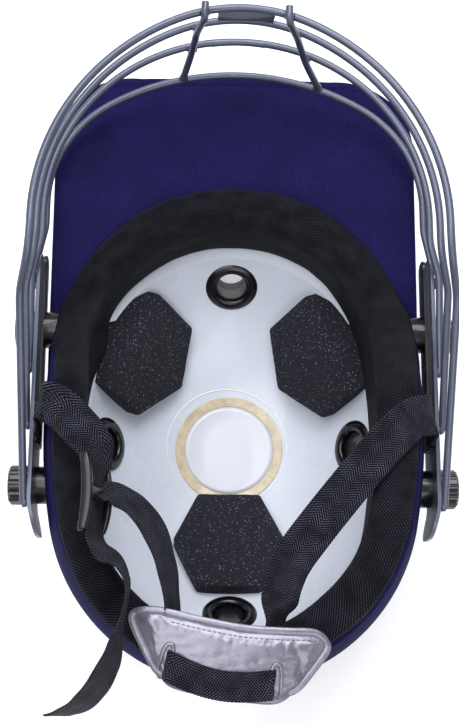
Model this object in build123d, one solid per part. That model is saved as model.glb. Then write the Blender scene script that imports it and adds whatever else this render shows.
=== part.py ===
"""Cricket helmet, lying on its crown with the opening up.

Millimetres. +Z is up, out of the opening. +Y is the front, where the peak and the face guard are.
The origin is the middle of the small flat at the crown, on the centre plane.
"""
import math
import os

from build123d import *

os.makedirs("parts", exist_ok=True)

# Dome, measured over the cloth
DOME_HALF_WIDTH = 103.5
DOME_HALF_LENGTH = 138.0
DOME_DEPTH = 112.0
NOSE_SHARE = 0.966
CROWN_FLAT_ANGLE = 11.5
DOME_ANGLES = (CROWN_FLAT_ANGLE, 20, 31, 43, 57, 73, 90, 107, 124)
COVER_THICK = 1.0
SHELL_THICK = 3.0

# Level of the dome's widest outline
WIDEST_Z = DOME_DEPTH * math.cos(math.radians(CROWN_FLAT_ANGLE))

# Rim line, seen from the side
BROW_BELOW = 2.7
BROW_Z = WIDEST_Z - BROW_BELOW
EAR_ABOVE = 40.3
EAR_Z = WIDEST_Z + EAR_ABOVE
NAPE_BELOW = 9.0
NAPE_Z = EAR_Z - NAPE_BELOW
BROW_Y = 72.0
TEMPLE_Y = 22.0
EAR_Y = -60.0
RIM_BLEND = 24.0
BINDING_HIGH = 1.4

# Liner
LINER_SIDE_WALL = 10.5
LINER_END_WALL = 14.0
LINER_FLOOR = 16.0
LINER_HALF_WIDTH = DOME_HALF_WIDTH - COVER_THICK - SHELL_THICK - LINER_SIDE_WALL
LINER_HALF_LENGTH = DOME_HALF_LENGTH - COVER_THICK - SHELL_THICK - LINER_END_WALL
LINER_DEPTH = DOME_DEPTH - COVER_THICK - SHELL_THICK - LINER_FLOOR
LINER_TOP_BELOW = 35.7
LINER_TOP_Z = WIDEST_Z - LINER_TOP_BELOW

# Vents through shell and liner
VENT_BELOW = 52.7
VENT_SHARE = math.sqrt(1 - (VENT_BELOW / LINER_DEPTH) ** 2)
VENT_HOLE_R = 9.0
GROMMET_WALL = 1.6
FLANGE_R = 16.0
FLANGE_THICK = 2.4
GROMMET_PROUD = 1.0

# Headband ring
RING_THICK = 13.5
RING_FOOT_THICK = 9.5
RING_SHELL_GAP = 2.0
RING_CROWN = 5.0
RING_BULGE = 1.5
RING_STATIONS = 17

# Hexagonal pads
PAD_THICK = 13.0
PAD_HALF_HIGH = 31.5
PAD_HALF_WAIST = 33.5
PAD_HALF_EDGE = 19.0
PAD_CORNER_R = 2.0
SIDE_PAD_INSIDE = 32.0
SIDE_PAD_X = LINER_HALF_WIDTH - SIDE_PAD_INSIDE
SIDE_PAD_BEHIND = 66.0
SIDE_PAD_Y = LINER_HALF_LENGTH - SIDE_PAD_BEHIND
SIDE_PAD_TURN = 12.0
REAR_PAD_OFF_VENT = 10.4
REAR_PAD_SPREAD_SHARE = 0.25
REAR_PAD_Y = REAR_PAD_OFF_VENT + (REAR_PAD_SPREAD_SHARE - VENT_SHARE) * LINER_HALF_LENGTH

# Label on the liner floor
LABEL_R = 33.0
LABEL_Y = 4.0
LABEL_THICK = 0.4
LABEL_LIFT = 0.1

# Peak
PEAK_FRONT_BEYOND = 76.0
PEAK_FRONT_Y = DOME_HALF_LENGTH + PEAK_FRONT_BEYOND
PEAK_FRONT_SAG = 6.0
PEAK_HALF_WIDTH = DOME_HALF_WIDTH
PEAK_ROOT_Y = 18.0
PEAK_CORNER_R = 46.0
PEAK_FRONT_R = 400.0
PEAK_BELOW = 11.7
PEAK_Z = WIDEST_Z - PEAK_BELOW
PEAK_ARCH = 11.0
PEAK_SLOPE = 2.5
PEAK_BOARD = 2.6
PEAK_CLOTH = 0.9

# Side strips of the face guard
STRIP_THICK = 2.0
STRIP_OFF_SHELL = 2.5
STRIP_IN_X = DOME_HALF_WIDTH + STRIP_OFF_SHELL
STRIP_LOW_BELOW = 2.7
STRIP_LOW_Z = WIDEST_Z - STRIP_LOW_BELOW
STRIP_HIGH_ABOVE = 30.3
STRIP_HIGH_Z = WIDEST_Z + STRIP_HIGH_ABOVE
STRIP_FRONT_Y = 92.0
STRIP_BEND_Y = -46.0
STRIP_REAR_Y = -62.0
STRIP_REAR_IN = 4.0
STRIP_CORNER_R = 11.0
STRIP_BEND_R = 30.0
GUARD_TRAVEL = 3.0

# Clamp screws, spacers and thumb nuts
SCREW_ABOVE = 9.3
SCREW_Z = WIDEST_Z + SCREW_ABOVE
SCREW_FRONT_Y = 52.0
SCREW_REAR_Y = -34.0
SCREW_R = 2.5
SCREW_HEAD_R = 6.0
SCREW_HEAD_THICK = 0.8
SCREW_FIT = 0.05
SPACER_R = 10.0
RUNNING_GAP = 0.1
NUT_R = 10.5
NUT_THICK = 10.5
NUT_FLUTES = 12
NUT_FLUTE_R = 1.7
NUT_FLUTE_OUT = 0.6
NUT_COLLAR_R = 7.0
NUT_COLLAR_THICK = 1.2
NUT_EDGE = 1.2
INSERT_R = 4.2
INSERT_DEEP = 7.0

# Hanger blades for the chin strap
BLADE_THICK = 1.5
BLADE_FRONT_Y = 94.0
BLADE_REAR_Y = -14.0
BLADE_LOW_BELOW = 7.0
BLADE_LOW_Z = SCREW_Z - BLADE_LOW_BELOW
BLADE_HIGH_ABOVE = 8.0
BLADE_HIGH_Z = SCREW_Z + BLADE_HIGH_ABOVE
BLADE_LUG_LONG = 24.0
BLADE_LUG_ABOVE = 18.0
BLADE_LUG_Z = SCREW_Z + BLADE_LUG_ABOVE
BLADE_CORNER_R = 5.0
BLADE_LUG_CORNER_R = 3.8
RIVET_R = 2.6

# Face guard wire
WIRE_R = 2.0
WELD_GAP = 0.04
LEG_END_ABOVE = 17.0
LEG_END_Z = SCREW_Z + LEG_END_ABOVE
LEG_BEND = 14.0
LEG_BEND_R = 24.0
LEG_FLARE = 18.0
LEG_DROP_SHARE = 0.3

# Arch of each bar: height, half width, apex, length of the rounded front, nose radius, end of its leg
CHIN_ABOVE = 100.3
CHIN_Z = WIDEST_Z + CHIN_ABOVE
CHIN_HALF = DOME_HALF_WIDTH
CHIN_APEX_BEYOND = 62.0
CHIN_APEX_Y = DOME_HALF_LENGTH + CHIN_APEX_BEYOND
CHIN_FRONT = 115.0
CHIN_NOSE_R_INSIDE = 21.5
CHIN_NOSE_R = CHIN_HALF - CHIN_NOSE_R_INSIDE
CHIN_END_Y = -46.0
LOWER_ABOVE = 69.3
LOWER_Z = WIDEST_Z + LOWER_ABOVE
LOWER_HALF_BEYOND = 1.0
LOWER_HALF = DOME_HALF_WIDTH + LOWER_HALF_BEYOND
LOWER_APEX_BEYOND = 72.0
LOWER_APEX_Y = DOME_HALF_LENGTH + LOWER_APEX_BEYOND
LOWER_FRONT = 115.0
LOWER_NOSE_R_INSIDE = 19.5
LOWER_NOSE_R = LOWER_HALF - LOWER_NOSE_R_INSIDE
LOWER_END_Y = -5.0
MIDDLE_ABOVE = 37.3
MIDDLE_Z = WIDEST_Z + MIDDLE_ABOVE
MIDDLE_HALF_BEYOND = 1.5
MIDDLE_HALF = DOME_HALF_WIDTH + MIDDLE_HALF_BEYOND
MIDDLE_APEX_BEYOND = 76.0
MIDDLE_APEX_Y = DOME_HALF_LENGTH + MIDDLE_APEX_BEYOND
MIDDLE_FRONT = 104.0
MIDDLE_NOSE_R_INSIDE = 7.0
MIDDLE_NOSE_R = MIDDLE_HALF - MIDDLE_NOSE_R_INSIDE
MIDDLE_END_Y = 26.0
BROW_BAR_ABOVE = 13.3
BROW_BAR_Z = WIDEST_Z + BROW_BAR_ABOVE
BROW_BAR_HALF_BEYOND = 2.5
BROW_BAR_HALF = DOME_HALF_WIDTH + BROW_BAR_HALF_BEYOND
BROW_BAR_APEX_BEYOND = 67.5
BROW_BAR_APEX_Y = DOME_HALF_LENGTH + BROW_BAR_APEX_BEYOND
BROW_BAR_FRONT = 80.0
BROW_BAR_NOSE_R_BEYOND = 34.0
BROW_BAR_NOSE_R = BROW_BAR_HALF + BROW_BAR_NOSE_R_BEYOND
BROW_BAR_END_Y = 76.0

# Uprights: places across the front at the chin, lower, middle and brow bars
UPRIGHT_LEFT_XS = (-19.0, -23.0, -26.0, -30.5)
UPRIGHT_RIGHT_XS = (24.0, 31.0, 38.0, 47.0)
UPRIGHT_OVER = 2.5
UPRIGHT_HOOK_SHARE = 1.42
UPRIGHT_HOOK_R = 3.6
UPRIGHT_FOOT_LIFT = 3.0
UPRIGHT_BEND_R = 60.0

# Bare plate between the chin bar and the lower bar
PLATE_X = 3.0
PLATE_HALF_WIDTH = 15.0
PLATE_THICK = 1.4
PLATE_MARGIN = 0.3

# Webbing
WEB_WIDTH = 20.0
WEB_THICK = 1.4
WEB_LIFT = 0.5
WEB_BEND_R = 4.0
ANCHOR_Y = -2.0
ANCHOR_END_SHARE = 0.768
ANCHOR_END_X = ANCHOR_END_SHARE * DOME_HALF_WIDTH
WEB_REST_ABOVE = 5.6
WEB_REST_Z = EAR_Z + WEB_REST_ABOVE

# Chin cup
CUP_X = -4.0
CUP_BACK_SHARE = 0.891
CUP_Y = -CUP_BACK_SHARE * DOME_HALF_LENGTH
CUP_BELOW = 2.1
CUP_Z = WEB_REST_Z - CUP_BELOW
CUP_TURN = -8.5
CUP_TILT = 4.0
CUP_LONG = 104.0
CUP_HIGH = 35.0
CUP_THICK = 8.0
CUP_END_HIGH = 25.0
CUP_END_DROP = 1.5
CUP_EDGE_SHARE = 0.2
CUP_LINING = 2.4
CUP_BEAD_R = 1.6
CUP_BEAD_GAP = 0.3
CUP_BEAD_STEPS = 16
SLOT_LEFT = -29.0
SLOT_RIGHT = 24.0
SLOT_LONG = 4.4
SLOT_SIDE = 0.9
BAND_WIDTH = 15.0
BAND_DOWN = 5.0
BAND_TAIL = 7.0
BAND_BEND_R = 1.5

# Slider buckle
BUCKLE_OUT_SHARE = 0.69
BUCKLE_X = -BUCKLE_OUT_SHARE * DOME_HALF_WIDTH
BUCKLE_BACK_SHARE = 0.319
BUCKLE_Y = -BUCKLE_BACK_SHARE * DOME_HALF_LENGTH
BUCKLE_ABOVE = 3.0
BUCKLE_Z = WEB_REST_Z + BUCKLE_ABOVE
BUCKLE_LONG = 40.0
BUCKLE_WIDE = 27.0
BUCKLE_BAR_THICK = 2.0
BUCKLE_LEAN = 62.0
BUCKLE_BAR = 5.0
BUCKLE_CORNER_R = 3.0

OVERRUN = 60.0
REACH = 400.0

CAVITY_GAP = COVER_THICK + SHELL_THICK


def plan_face(half_width, half_length, nose, z):
    """Plan outline of the dome at one level: two side arcs and two nose arcs that run into each other."""
    rise = half_length - nose
    lead = half_width - nose
    side = (half_width + nose + rise * rise / lead) / 2
    reach = math.hypot(side - half_width, rise)
    tx = half_width - side + side * (side - half_width) / reach
    ty = side * rise / reach
    front = Vector(0, half_length, z)
    rear = Vector(0, -half_length, z)
    edges = [
        ThreePointArc((tx, -ty, z), (half_width, 0, z), (tx, ty, z)),
        ThreePointArc((tx, ty, z), front, (-tx, ty, z)),
        ThreePointArc((-tx, ty, z), (-half_width, 0, z), (-tx, -ty, z)),
        ThreePointArc((-tx, -ty, z), rear, (tx, -ty, z)),
    ]
    return Face(Wire(edges))


def bowl(half_width, half_length, depth):
    """Solid dome, crown down, of the given half sizes, closed by a flat top above the rim."""
    faces = []
    for angle in DOME_ANGLES:
        share = math.sin(math.radians(angle))
        level = WIDEST_Z - depth * math.cos(math.radians(angle))
        nose = NOSE_SHARE * half_width
        faces.append(plan_face(half_width * share, half_length * share, nose * share, level))
    return loft(faces)


def dome(gap):
    """The helmet's dome drawn in by a gap all round."""
    return bowl(DOME_HALF_WIDTH - gap, DOME_HALF_LENGTH - gap, DOME_DEPTH - gap)


def liner_bowl(gap=0):
    """The hollow inside the liner, drawn in by a gap all round."""
    return bowl(LINER_HALF_WIDTH - gap, LINER_HALF_LENGTH - gap, LINER_DEPTH - gap)


def rim_height(y):
    """Height of the rim line at a place along the helmet, before its corners are rounded."""
    if y >= BROW_Y:
        return BROW_Z
    if y >= TEMPLE_Y:
        return EAR_Z + (BROW_Z - EAR_Z) * (y - TEMPLE_Y) / (BROW_Y - TEMPLE_Y)
    if y >= EAR_Y:
        return EAR_Z
    return EAR_Z + (NAPE_Z - EAR_Z) * (EAR_Y - y) / (DOME_HALF_LENGTH + EAR_Y)


def above_rim(lift=0):
    """Everything above the rim line, raised by a lift."""
    rear_y = -DOME_HALF_LENGTH - OVERRUN
    front_y = DOME_HALF_LENGTH + OVERRUN
    points = [
        (rear_y, rim_height(rear_y) + lift),
        (EAR_Y, EAR_Z + lift),
        (TEMPLE_Y, EAR_Z + lift),
        (BROW_Y, BROW_Z + lift),
        (front_y, BROW_Z + lift),
    ]
    line = FilletPolyline(*points, radius=RIM_BLEND)
    top = Polyline(points[-1], (front_y, REACH), (rear_y, REACH), points[0])
    side = Plane.YZ * make_face(line + top)
    return extrude(side, amount=REACH, both=True)


def skin(outer_gap, inner_gap):
    """One layer of the dome, cut off at the rim."""
    return dome(outer_gap) - dome(inner_gap) - above_rim()


def liner_point(x, y):
    """Point of the liner's inner face under a plan place, and the direction into the hollow there."""
    share = math.hypot(x / LINER_HALF_WIDTH, y / LINER_HALF_LENGTH)
    drop = LINER_DEPTH * math.sqrt(1 - share * share)
    inward = Vector(
        -x / LINER_HALF_WIDTH**2,
        -y / LINER_HALF_LENGTH**2,
        drop / LINER_DEPTH**2,
    )
    return Vector(x, y, WIDEST_Z - drop), inward.normalized()


def vent_planes():
    """Planes of the four vents, on the liner's face, with their normals into the hollow."""
    planes = {}
    for name, x, y in (("front", 0, 1), ("rear", 0, -1), ("left", -1, 0), ("right", 1, 0)):
        point, inward = liner_point(x * VENT_SHARE * LINER_HALF_WIDTH, y * VENT_SHARE * LINER_HALF_LENGTH)
        across = Vector(0, 0, 1).cross(inward)
        planes[name] = Plane(origin=point, x_dir=across, z_dir=inward)
    return planes


def vent_drills(radius):
    """Long round tools through the shell at every vent."""
    tool = Cylinder(radius, 2 * OVERRUN)
    return [plane * tool for plane in vent_planes().values()]


def screw_places():
    """Side, name and place along the helmet of the four clamp screws."""
    places = []
    for side, sign in (("left", -1), ("right", 1)):
        places.append((f"{side}_front", sign, SCREW_FRONT_Y))
        places.append((f"{side}_rear", sign, SCREW_REAR_Y))
    return places


def side_rod(sign, y, radius, start_x, end_x):
    """Round rod along X at a clamp screw's height, between two distances from the centre plane."""
    plane = Plane(origin=(sign * start_x, y, SCREW_Z), z_dir=(sign, 0, 0))
    return extrude(plane * Circle(radius), amount=end_x - start_x)


def pierced(solid):
    """A layer of the helmet with its vent holes and screw holes."""
    for drill in vent_drills(VENT_HOLE_R + GROMMET_WALL):
        solid = solid - drill
    for name, sign, y in screw_places():
        solid = solid - side_rod(sign, y, SCREW_R, 0, STRIP_IN_X)
    return solid


def above_liner():
    """Everything above the liner's top edge."""
    block = Box(REACH, REACH, REACH, align=(Align.CENTER, Align.CENTER, Align.MIN))
    return Pos(0, 0, LINER_TOP_Z) * block


def make_liner():
    """White liner inside the shell, below the headband ring."""
    return pierced(dome(CAVITY_GAP) - liner_bowl() - above_liner())


def make_grommet(plane):
    """Flanged sleeve that lines one vent, cut off just outside the cloth."""
    disc = Circle(VENT_HOLE_R + GROMMET_WALL)
    reach = extrude(plane * disc, amount=-OVERRUN) + extrude(plane * disc, amount=FLANGE_THICK)
    sleeve = reach & dome(-GROMMET_PROUD)
    flange = extrude(plane * Circle(FLANGE_R), amount=FLANGE_THICK) & liner_bowl()
    bore = extrude(plane * Circle(VENT_HOLE_R), amount=OVERRUN, both=True)
    return sleeve + flange - bore


def ring_station(turn):
    """One section of the headband ring, at an angle from the front round the right side."""
    half_width = DOME_HALF_WIDTH - CAVITY_GAP - RING_SHELL_GAP
    half_length = DOME_HALF_LENGTH - CAVITY_GAP - RING_SHELL_GAP
    nose = NOSE_SHARE * half_width
    rise = half_length - nose
    side = (half_width + nose + rise * rise / (half_width - nose)) / 2
    out = Vector(math.sin(turn), math.cos(turn), 0)
    meet = math.atan2(side - half_width, rise)
    if turn < meet:
        spot = Vector(0, rise, 0) + out * nose
    elif turn > math.pi - meet:
        spot = Vector(0, -rise, 0) + out * nose
    else:
        spot = Vector(half_width - side, 0, 0) + out * side
    reach = spot.dot(out)
    depth = DOME_DEPTH - CAVITY_GAP - RING_SHELL_GAP

    def outer(z):
        share = math.sqrt(1 - ((WIDEST_Z - z) / depth) ** 2)
        return spot + out * (reach * (share - 1)) + Vector(0, 0, z)

    low = LINER_TOP_Z + RING_SHELL_GAP / 2
    high = rim_height(spot.Y) - RING_CROWN
    middle = (low + high) / 2
    inward = out * -RING_THICK
    foot = out * -RING_FOOT_THICK
    bulge = out * -RING_BULGE
    crown = inward / 2 + Vector(0, 0, RING_CROWN)
    edges = [
        ThreePointArc(outer(low), outer(middle), outer(high)),
        ThreePointArc(outer(high), outer(high) + crown, outer(high) + inward),
        ThreePointArc(outer(high) + inward, outer(middle) + (inward + foot) / 2 + bulge, outer(low) + foot),
        Line(outer(low) + foot, outer(low)),
    ]
    return Face(Wire(edges))


def make_ring():
    """Headband ring: rounded sections all the way round inside the rim."""
    step = math.pi / (RING_STATIONS - 1)
    half = loft([ring_station(step * n) for n in range(RING_STATIONS)])
    return half + mirror(half, about=Plane.YZ)


def pad_outline():
    """Six-sided outline of a foam pad, flat edges at the top and bottom."""
    points = [
        (-PAD_HALF_EDGE, PAD_HALF_HIGH),
        (PAD_HALF_EDGE, PAD_HALF_HIGH),
        (PAD_HALF_WAIST, 0),
        (PAD_HALF_EDGE, -PAD_HALF_HIGH),
        (-PAD_HALF_EDGE, -PAD_HALF_HIGH),
        (-PAD_HALF_WAIST, 0),
    ]
    return fillet(Polygon(*points, align=None).vertices(), PAD_CORNER_R)


def make_pad(x, y, turn):
    """Foam pad seated on the liner."""
    point, inward = liner_point(x, y)
    forward = Vector(0, 1, 0) - inward * inward.Y
    across = forward.cross(inward).rotate(Axis((0, 0, 0), inward), turn)
    plane = Plane(origin=point, x_dir=across, z_dir=inward)
    block = extrude(plane * pad_outline(), amount=PAD_THICK)
    block = block + extrude(plane * pad_outline(), amount=-PAD_THICK)
    return (block & liner_bowl()) - above_liner()


def make_label():
    """Round label that follows the liner's floor."""
    column = Pos(0, LABEL_Y, 0) * Cylinder(LABEL_R, 2 * WIDEST_Z)
    return column & (liner_bowl(LABEL_LIFT) - liner_bowl(LABEL_LIFT + LABEL_THICK))


def peak_slab(low, high):
    """Arched slab that the peak is cut from, between two heights over the peak's lowest line."""
    radius = (PEAK_HALF_WIDTH**2 + PEAK_ARCH**2) / (2 * PEAK_ARCH)
    outer = Circle(radius - low)
    inner = Circle(radius - high)
    plane = Plane(origin=(0, PEAK_ROOT_Y - OVERRUN, PEAK_Z + radius), x_dir=(1, 0, 0), z_dir=(0, 1, 0))
    slab = extrude(plane * (outer - inner), amount=REACH)
    pivot = Axis((0, DOME_HALF_LENGTH, PEAK_Z), (1, 0, 0))
    return slab.rotate(pivot, PEAK_SLOPE)


def peak_outline(inset):
    """Plan of the peak: slightly arched front, round corners, flanks that run back along the shell."""
    half = PEAK_HALF_WIDTH - inset
    front = PEAK_FRONT_Y - inset
    corner_y = front - PEAK_FRONT_SAG
    points = [
        (-half, PEAK_ROOT_Y),
        (-half, corner_y),
        (0, front),
        (half, corner_y),
        (half, PEAK_ROOT_Y),
    ]
    line = FilletPolyline(*points, radius=(PEAK_CORNER_R, PEAK_FRONT_R, PEAK_CORNER_R))
    plan = make_face(line + Line(points[-1], points[0]))
    tall = extrude(plan, amount=WIDEST_Z)
    return Pos(0, 0, PEAK_Z - PEAK_ARCH) * tall


def make_peak():
    """Board of the peak and the cloth cover round it."""
    board = peak_outline(PEAK_CLOTH) & peak_slab(PEAK_CLOTH, PEAK_CLOTH + PEAK_BOARD)
    board = keep_largest(board - dome(0) - spacer_notches(PEAK_CLOTH))
    cover = peak_outline(0) & peak_slab(0, PEAK_BOARD + 2 * PEAK_CLOTH)
    cover = keep_largest(cover - dome(0) - spacer_notches(0))
    return board, cover - board


def spacer_notches(margin):
    """Round tools that keep the peak's flanks clear of the front spacers."""
    radius = SPACER_R + RUNNING_GAP + margin
    rods = [side_rod(sign, SCREW_FRONT_Y, radius, 0, STRIP_IN_X) for sign in (-1, 1)]
    return rods[0] + rods[1]


def keep_largest(shape):
    """The largest solid of a cut shape."""
    return max(shape.solids(), key=lambda solid: solid.volume)


def mirrored(solid, sign):
    """The solid itself on the right, its mirror image on the left."""
    return solid if sign > 0 else mirror(solid, about=Plane.YZ)


def make_strip():
    """Right side strip of the face guard: flat steel, two upright slots, rear end bent in."""
    points = [
        (STRIP_IN_X, STRIP_FRONT_Y),
        (STRIP_IN_X, STRIP_BEND_Y),
        (STRIP_IN_X - STRIP_REAR_IN, STRIP_REAR_Y),
    ]
    inner = FilletPolyline(*points, radius=STRIP_BEND_R)
    shift = STRIP_THICK
    outer = FilletPolyline(*[(x + shift, y) for x, y in points], radius=STRIP_BEND_R)
    ends = [Line(inner @ 0, outer @ 0), Line(inner @ 1, outer @ 1)]
    plan = make_face(inner + outer + ends)
    strip = Pos(0, 0, STRIP_LOW_Z) * extrude(plan, amount=STRIP_HIGH_Z - STRIP_LOW_Z)
    mid_y = (STRIP_FRONT_Y + STRIP_REAR_Y) / 2
    mid_z = (STRIP_LOW_Z + STRIP_HIGH_Z) / 2
    shape = RectangleRounded(STRIP_FRONT_Y - STRIP_REAR_Y, STRIP_HIGH_Z - STRIP_LOW_Z, STRIP_CORNER_R)
    window = Plane(origin=(0, mid_y, mid_z), x_dir=(0, 1, 0), z_dir=(1, 0, 0)) * shape
    strip = strip & extrude(window, amount=REACH)
    for y in (SCREW_FRONT_Y, SCREW_REAR_Y):
        slot = SlotCenterToCenter(2 * GUARD_TRAVEL, 2 * (SCREW_R + RUNNING_GAP), rotation=90)
        plane = Plane(origin=(0, y, SCREW_Z), x_dir=(0, 1, 0), z_dir=(1, 0, 0))
        strip = strip - extrude(plane * slot, amount=REACH)
    return strip


def bar_sizes():
    """Height, half width, apex, front length, nose radius and leg end of each bar."""
    return {
        "chin_bar": (CHIN_Z, CHIN_HALF, CHIN_APEX_Y, CHIN_FRONT, CHIN_NOSE_R, CHIN_END_Y),
        "lower_bar": (LOWER_Z, LOWER_HALF, LOWER_APEX_Y, LOWER_FRONT, LOWER_NOSE_R, LOWER_END_Y),
        "middle_bar": (MIDDLE_Z, MIDDLE_HALF, MIDDLE_APEX_Y, MIDDLE_FRONT, MIDDLE_NOSE_R, MIDDLE_END_Y),
        "brow_bar": (
            BROW_BAR_Z,
            BROW_BAR_HALF,
            BROW_BAR_APEX_Y,
            BROW_BAR_FRONT,
            BROW_BAR_NOSE_R,
            BROW_BAR_END_Y,
        ),
    }


def make_bar(z, half, apex_y, front, nose, end_y):
    """One bent bar: rounded front in a level plane, legs that run back onto the side strips."""
    root_y = apex_y - front
    rise = front - nose
    side = (half + nose + rise * rise / (half - nose)) / 2
    reach = math.hypot(side - half, rise)
    turn = 1 if side > nose else -1
    tx = half - side + side * turn * (side - half) / reach
    ty = root_y + side * turn * rise / reach
    mid_angle = math.atan2(ty - root_y, tx - half + side) / 2
    mx = half - side + side * math.cos(mid_angle)
    my = root_y + side * math.sin(mid_angle)
    end_x = STRIP_IN_X + STRIP_THICK + WELD_GAP + WIRE_R
    end_z = min(LEG_END_Z, z - 2 * WIRE_R)
    legs = []
    for sign in (1, -1):
        points = [
            (sign * half, root_y, z),
            (sign * half, root_y - LEG_BEND, z),
            (sign * end_x, root_y - LEG_BEND - LEG_FLARE, z + (end_z - z) * LEG_DROP_SHARE),
            (sign * end_x, end_y, end_z),
        ]
        legs.append(FilletPolyline(*points, radius=LEG_BEND_R))
    arcs = [
        ThreePointArc((half, root_y, z), (mx, my, z), (tx, ty, z)),
        ThreePointArc((tx, ty, z), (0, apex_y, z), (-tx, ty, z)),
        ThreePointArc((-tx, ty, z), (-mx, my, z), (-half, root_y, z)),
    ]
    path = Wire(legs[0].edges() + arcs + legs[1].edges())
    start = Plane(origin=path @ 0, z_dir=path % 0)
    return sweep(start * Circle(WIRE_R), path=path)


def bar_front_y(sizes, x):
    """Place of a bar's centre line at a distance from the centre plane, on its nose arc."""
    nose = sizes[4]
    return sizes[2] - nose + math.sqrt(nose * nose - x * x)


def make_upright(xs):
    """Upright wire inside the two middle bars, its top bent over the chin bar, its foot on the brow bar."""
    touch = 2 * WIRE_R + WELD_GAP
    spots = []
    backs = []
    for x, sizes in zip(xs, bar_sizes().values()):
        spots.append(Vector(x, bar_front_y(sizes, x), sizes[0]))
        backs.append(Vector(0, -touch / math.sqrt(1 - (x / sizes[4]) ** 2), 0))
    over = spots[0] + Vector(0, 0, touch)
    route = [
        over + Vector(0, UPRIGHT_OVER, 0),
        over + backs[0] * UPRIGHT_HOOK_SHARE,
        spots[1] + backs[1],
        spots[2] + backs[2],
        spots[3] + Vector(0, 0, UPRIGHT_FOOT_LIFT),
    ]
    path = FilletPolyline(*route, radius=(UPRIGHT_HOOK_R, UPRIGHT_BEND_R, UPRIGHT_BEND_R))
    start = Plane(origin=path @ 0, z_dir=path % 0)
    return sweep(start * Circle(WIRE_R), path=path)


def make_front_plate():
    """Small flat plate welded between the chin bar and the lower bar."""
    sizes = bar_sizes()
    top = Vector(PLATE_X, bar_front_y(sizes["chin_bar"], PLATE_X), CHIN_Z)
    low = Vector(PLATE_X, bar_front_y(sizes["lower_bar"], PLATE_X), LOWER_Z)
    along = (top - low).normalized()
    high = (top - low).length - 2 * (WIRE_R + PLATE_MARGIN)
    plane = Plane(origin=(top + low) / 2, x_dir=(1, 0, 0), z_dir=Vector(1, 0, 0).cross(along))
    return extrude(plane * Rectangle(2 * PLATE_HALF_WIDTH, high), amount=PLATE_THICK / 2, both=True)


def make_screw(sign, y):
    """Clamp screw: flat head inside the shell, shaft out through the strip."""
    inside = dome(CAVITY_GAP)
    head = side_rod(sign, y, SCREW_HEAD_R, 0, STRIP_IN_X) & (inside - dome(CAVITY_GAP + SCREW_HEAD_THICK))
    tip_x = STRIP_IN_X + STRIP_THICK + NUT_COLLAR_THICK + INSERT_DEEP
    shaft = side_rod(sign, y, SCREW_R, DOME_HALF_WIDTH / 2, tip_x) - dome(CAVITY_GAP)
    return head + shaft


def blade_out_x():
    """Outer face of the hanger blade, just inside the side strip."""
    return STRIP_IN_X - RUNNING_GAP


def make_spacer(sign, y):
    """Spacer between the shell and the strip, or the hanger blade where that lies between them."""
    end_x = blade_out_x()
    if BLADE_REAR_Y < y < BLADE_FRONT_Y:
        end_x = end_x - BLADE_THICK
    rod = side_rod(sign, y, SPACER_R, DOME_HALF_WIDTH / 2, end_x)
    return keep_largest(rod - dome(0) - side_rod(sign, y, SCREW_R, 0, STRIP_IN_X))


def make_blade():
    """Right hanger blade: thin bar outside the shell with an upright lug for the webbing."""
    mid_y = (BLADE_FRONT_Y + BLADE_REAR_Y) / 2
    mid_z = (BLADE_LOW_Z + BLADE_HIGH_Z) / 2
    high = BLADE_HIGH_Z - BLADE_LOW_Z
    plane = Plane(origin=(blade_out_x() - BLADE_THICK, 0, 0), x_dir=(0, 1, 0), z_dir=(1, 0, 0))
    bar = Pos(mid_y, mid_z) * RectangleRounded(BLADE_FRONT_Y - BLADE_REAR_Y, high, BLADE_CORNER_R)
    lug_high = BLADE_LUG_Z - BLADE_LOW_Z
    lug = RectangleRounded(BLADE_LUG_LONG, lug_high, BLADE_LUG_CORNER_R)
    lug = Pos(ANCHOR_Y, BLADE_LOW_Z + lug_high / 2) * lug
    blade = extrude(plane * (bar + lug), amount=BLADE_THICK)
    return blade - side_rod(1, SCREW_FRONT_Y, SCREW_R, 0, STRIP_IN_X) - rivet_rod(RIVET_R, STRIP_IN_X)


def rivet_z():
    """Height of the rivet through the lug and the webbing."""
    return (BLADE_HIGH_Z + BLADE_LUG_Z) / 2


def rivet_rod(radius, end_x):
    """Round rod along X through the right lug."""
    plane = Plane(origin=(DOME_HALF_WIDTH / 2, ANCHOR_Y, rivet_z()), z_dir=(1, 0, 0))
    return extrude(plane * Circle(radius), amount=end_x - DOME_HALF_WIDTH / 2)


def make_anchor():
    """Right end of the webbing: riveted on the lug, up over the rim and in across the ring."""
    web_x = blade_out_x() - BLADE_THICK - WEB_THICK / 2
    low = (web_x, BLADE_HIGH_Z)
    corner = (web_x, WEB_REST_Z)
    end = (ANCHOR_END_X, WEB_REST_Z)
    path = FilletPolyline(low, corner, end, radius=WEB_BEND_R)
    plane = Plane(origin=(0, ANCHOR_Y - WEB_WIDTH / 2, 0), x_dir=(1, 0, 0), z_dir=(0, -1, 0))
    section = trace(path, WEB_THICK)
    band = extrude(plane * section, amount=-WEB_WIDTH)
    return band - rivet_rod(RIVET_R, STRIP_IN_X)


def make_rivet():
    """Rivet that holds the webbing on the right lug."""
    web_in = blade_out_x() - BLADE_THICK - WEB_THICK
    shank = rivet_rod(RIVET_R, blade_out_x()) & outside_of(web_in)
    return shank


def outside_of(x):
    """Everything to the right of a distance from the centre plane."""
    block = Box(REACH, 2 * REACH, 2 * REACH, align=(Align.MIN, Align.CENTER, Align.CENTER))
    return Pos(x, 0, 0) * block


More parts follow.
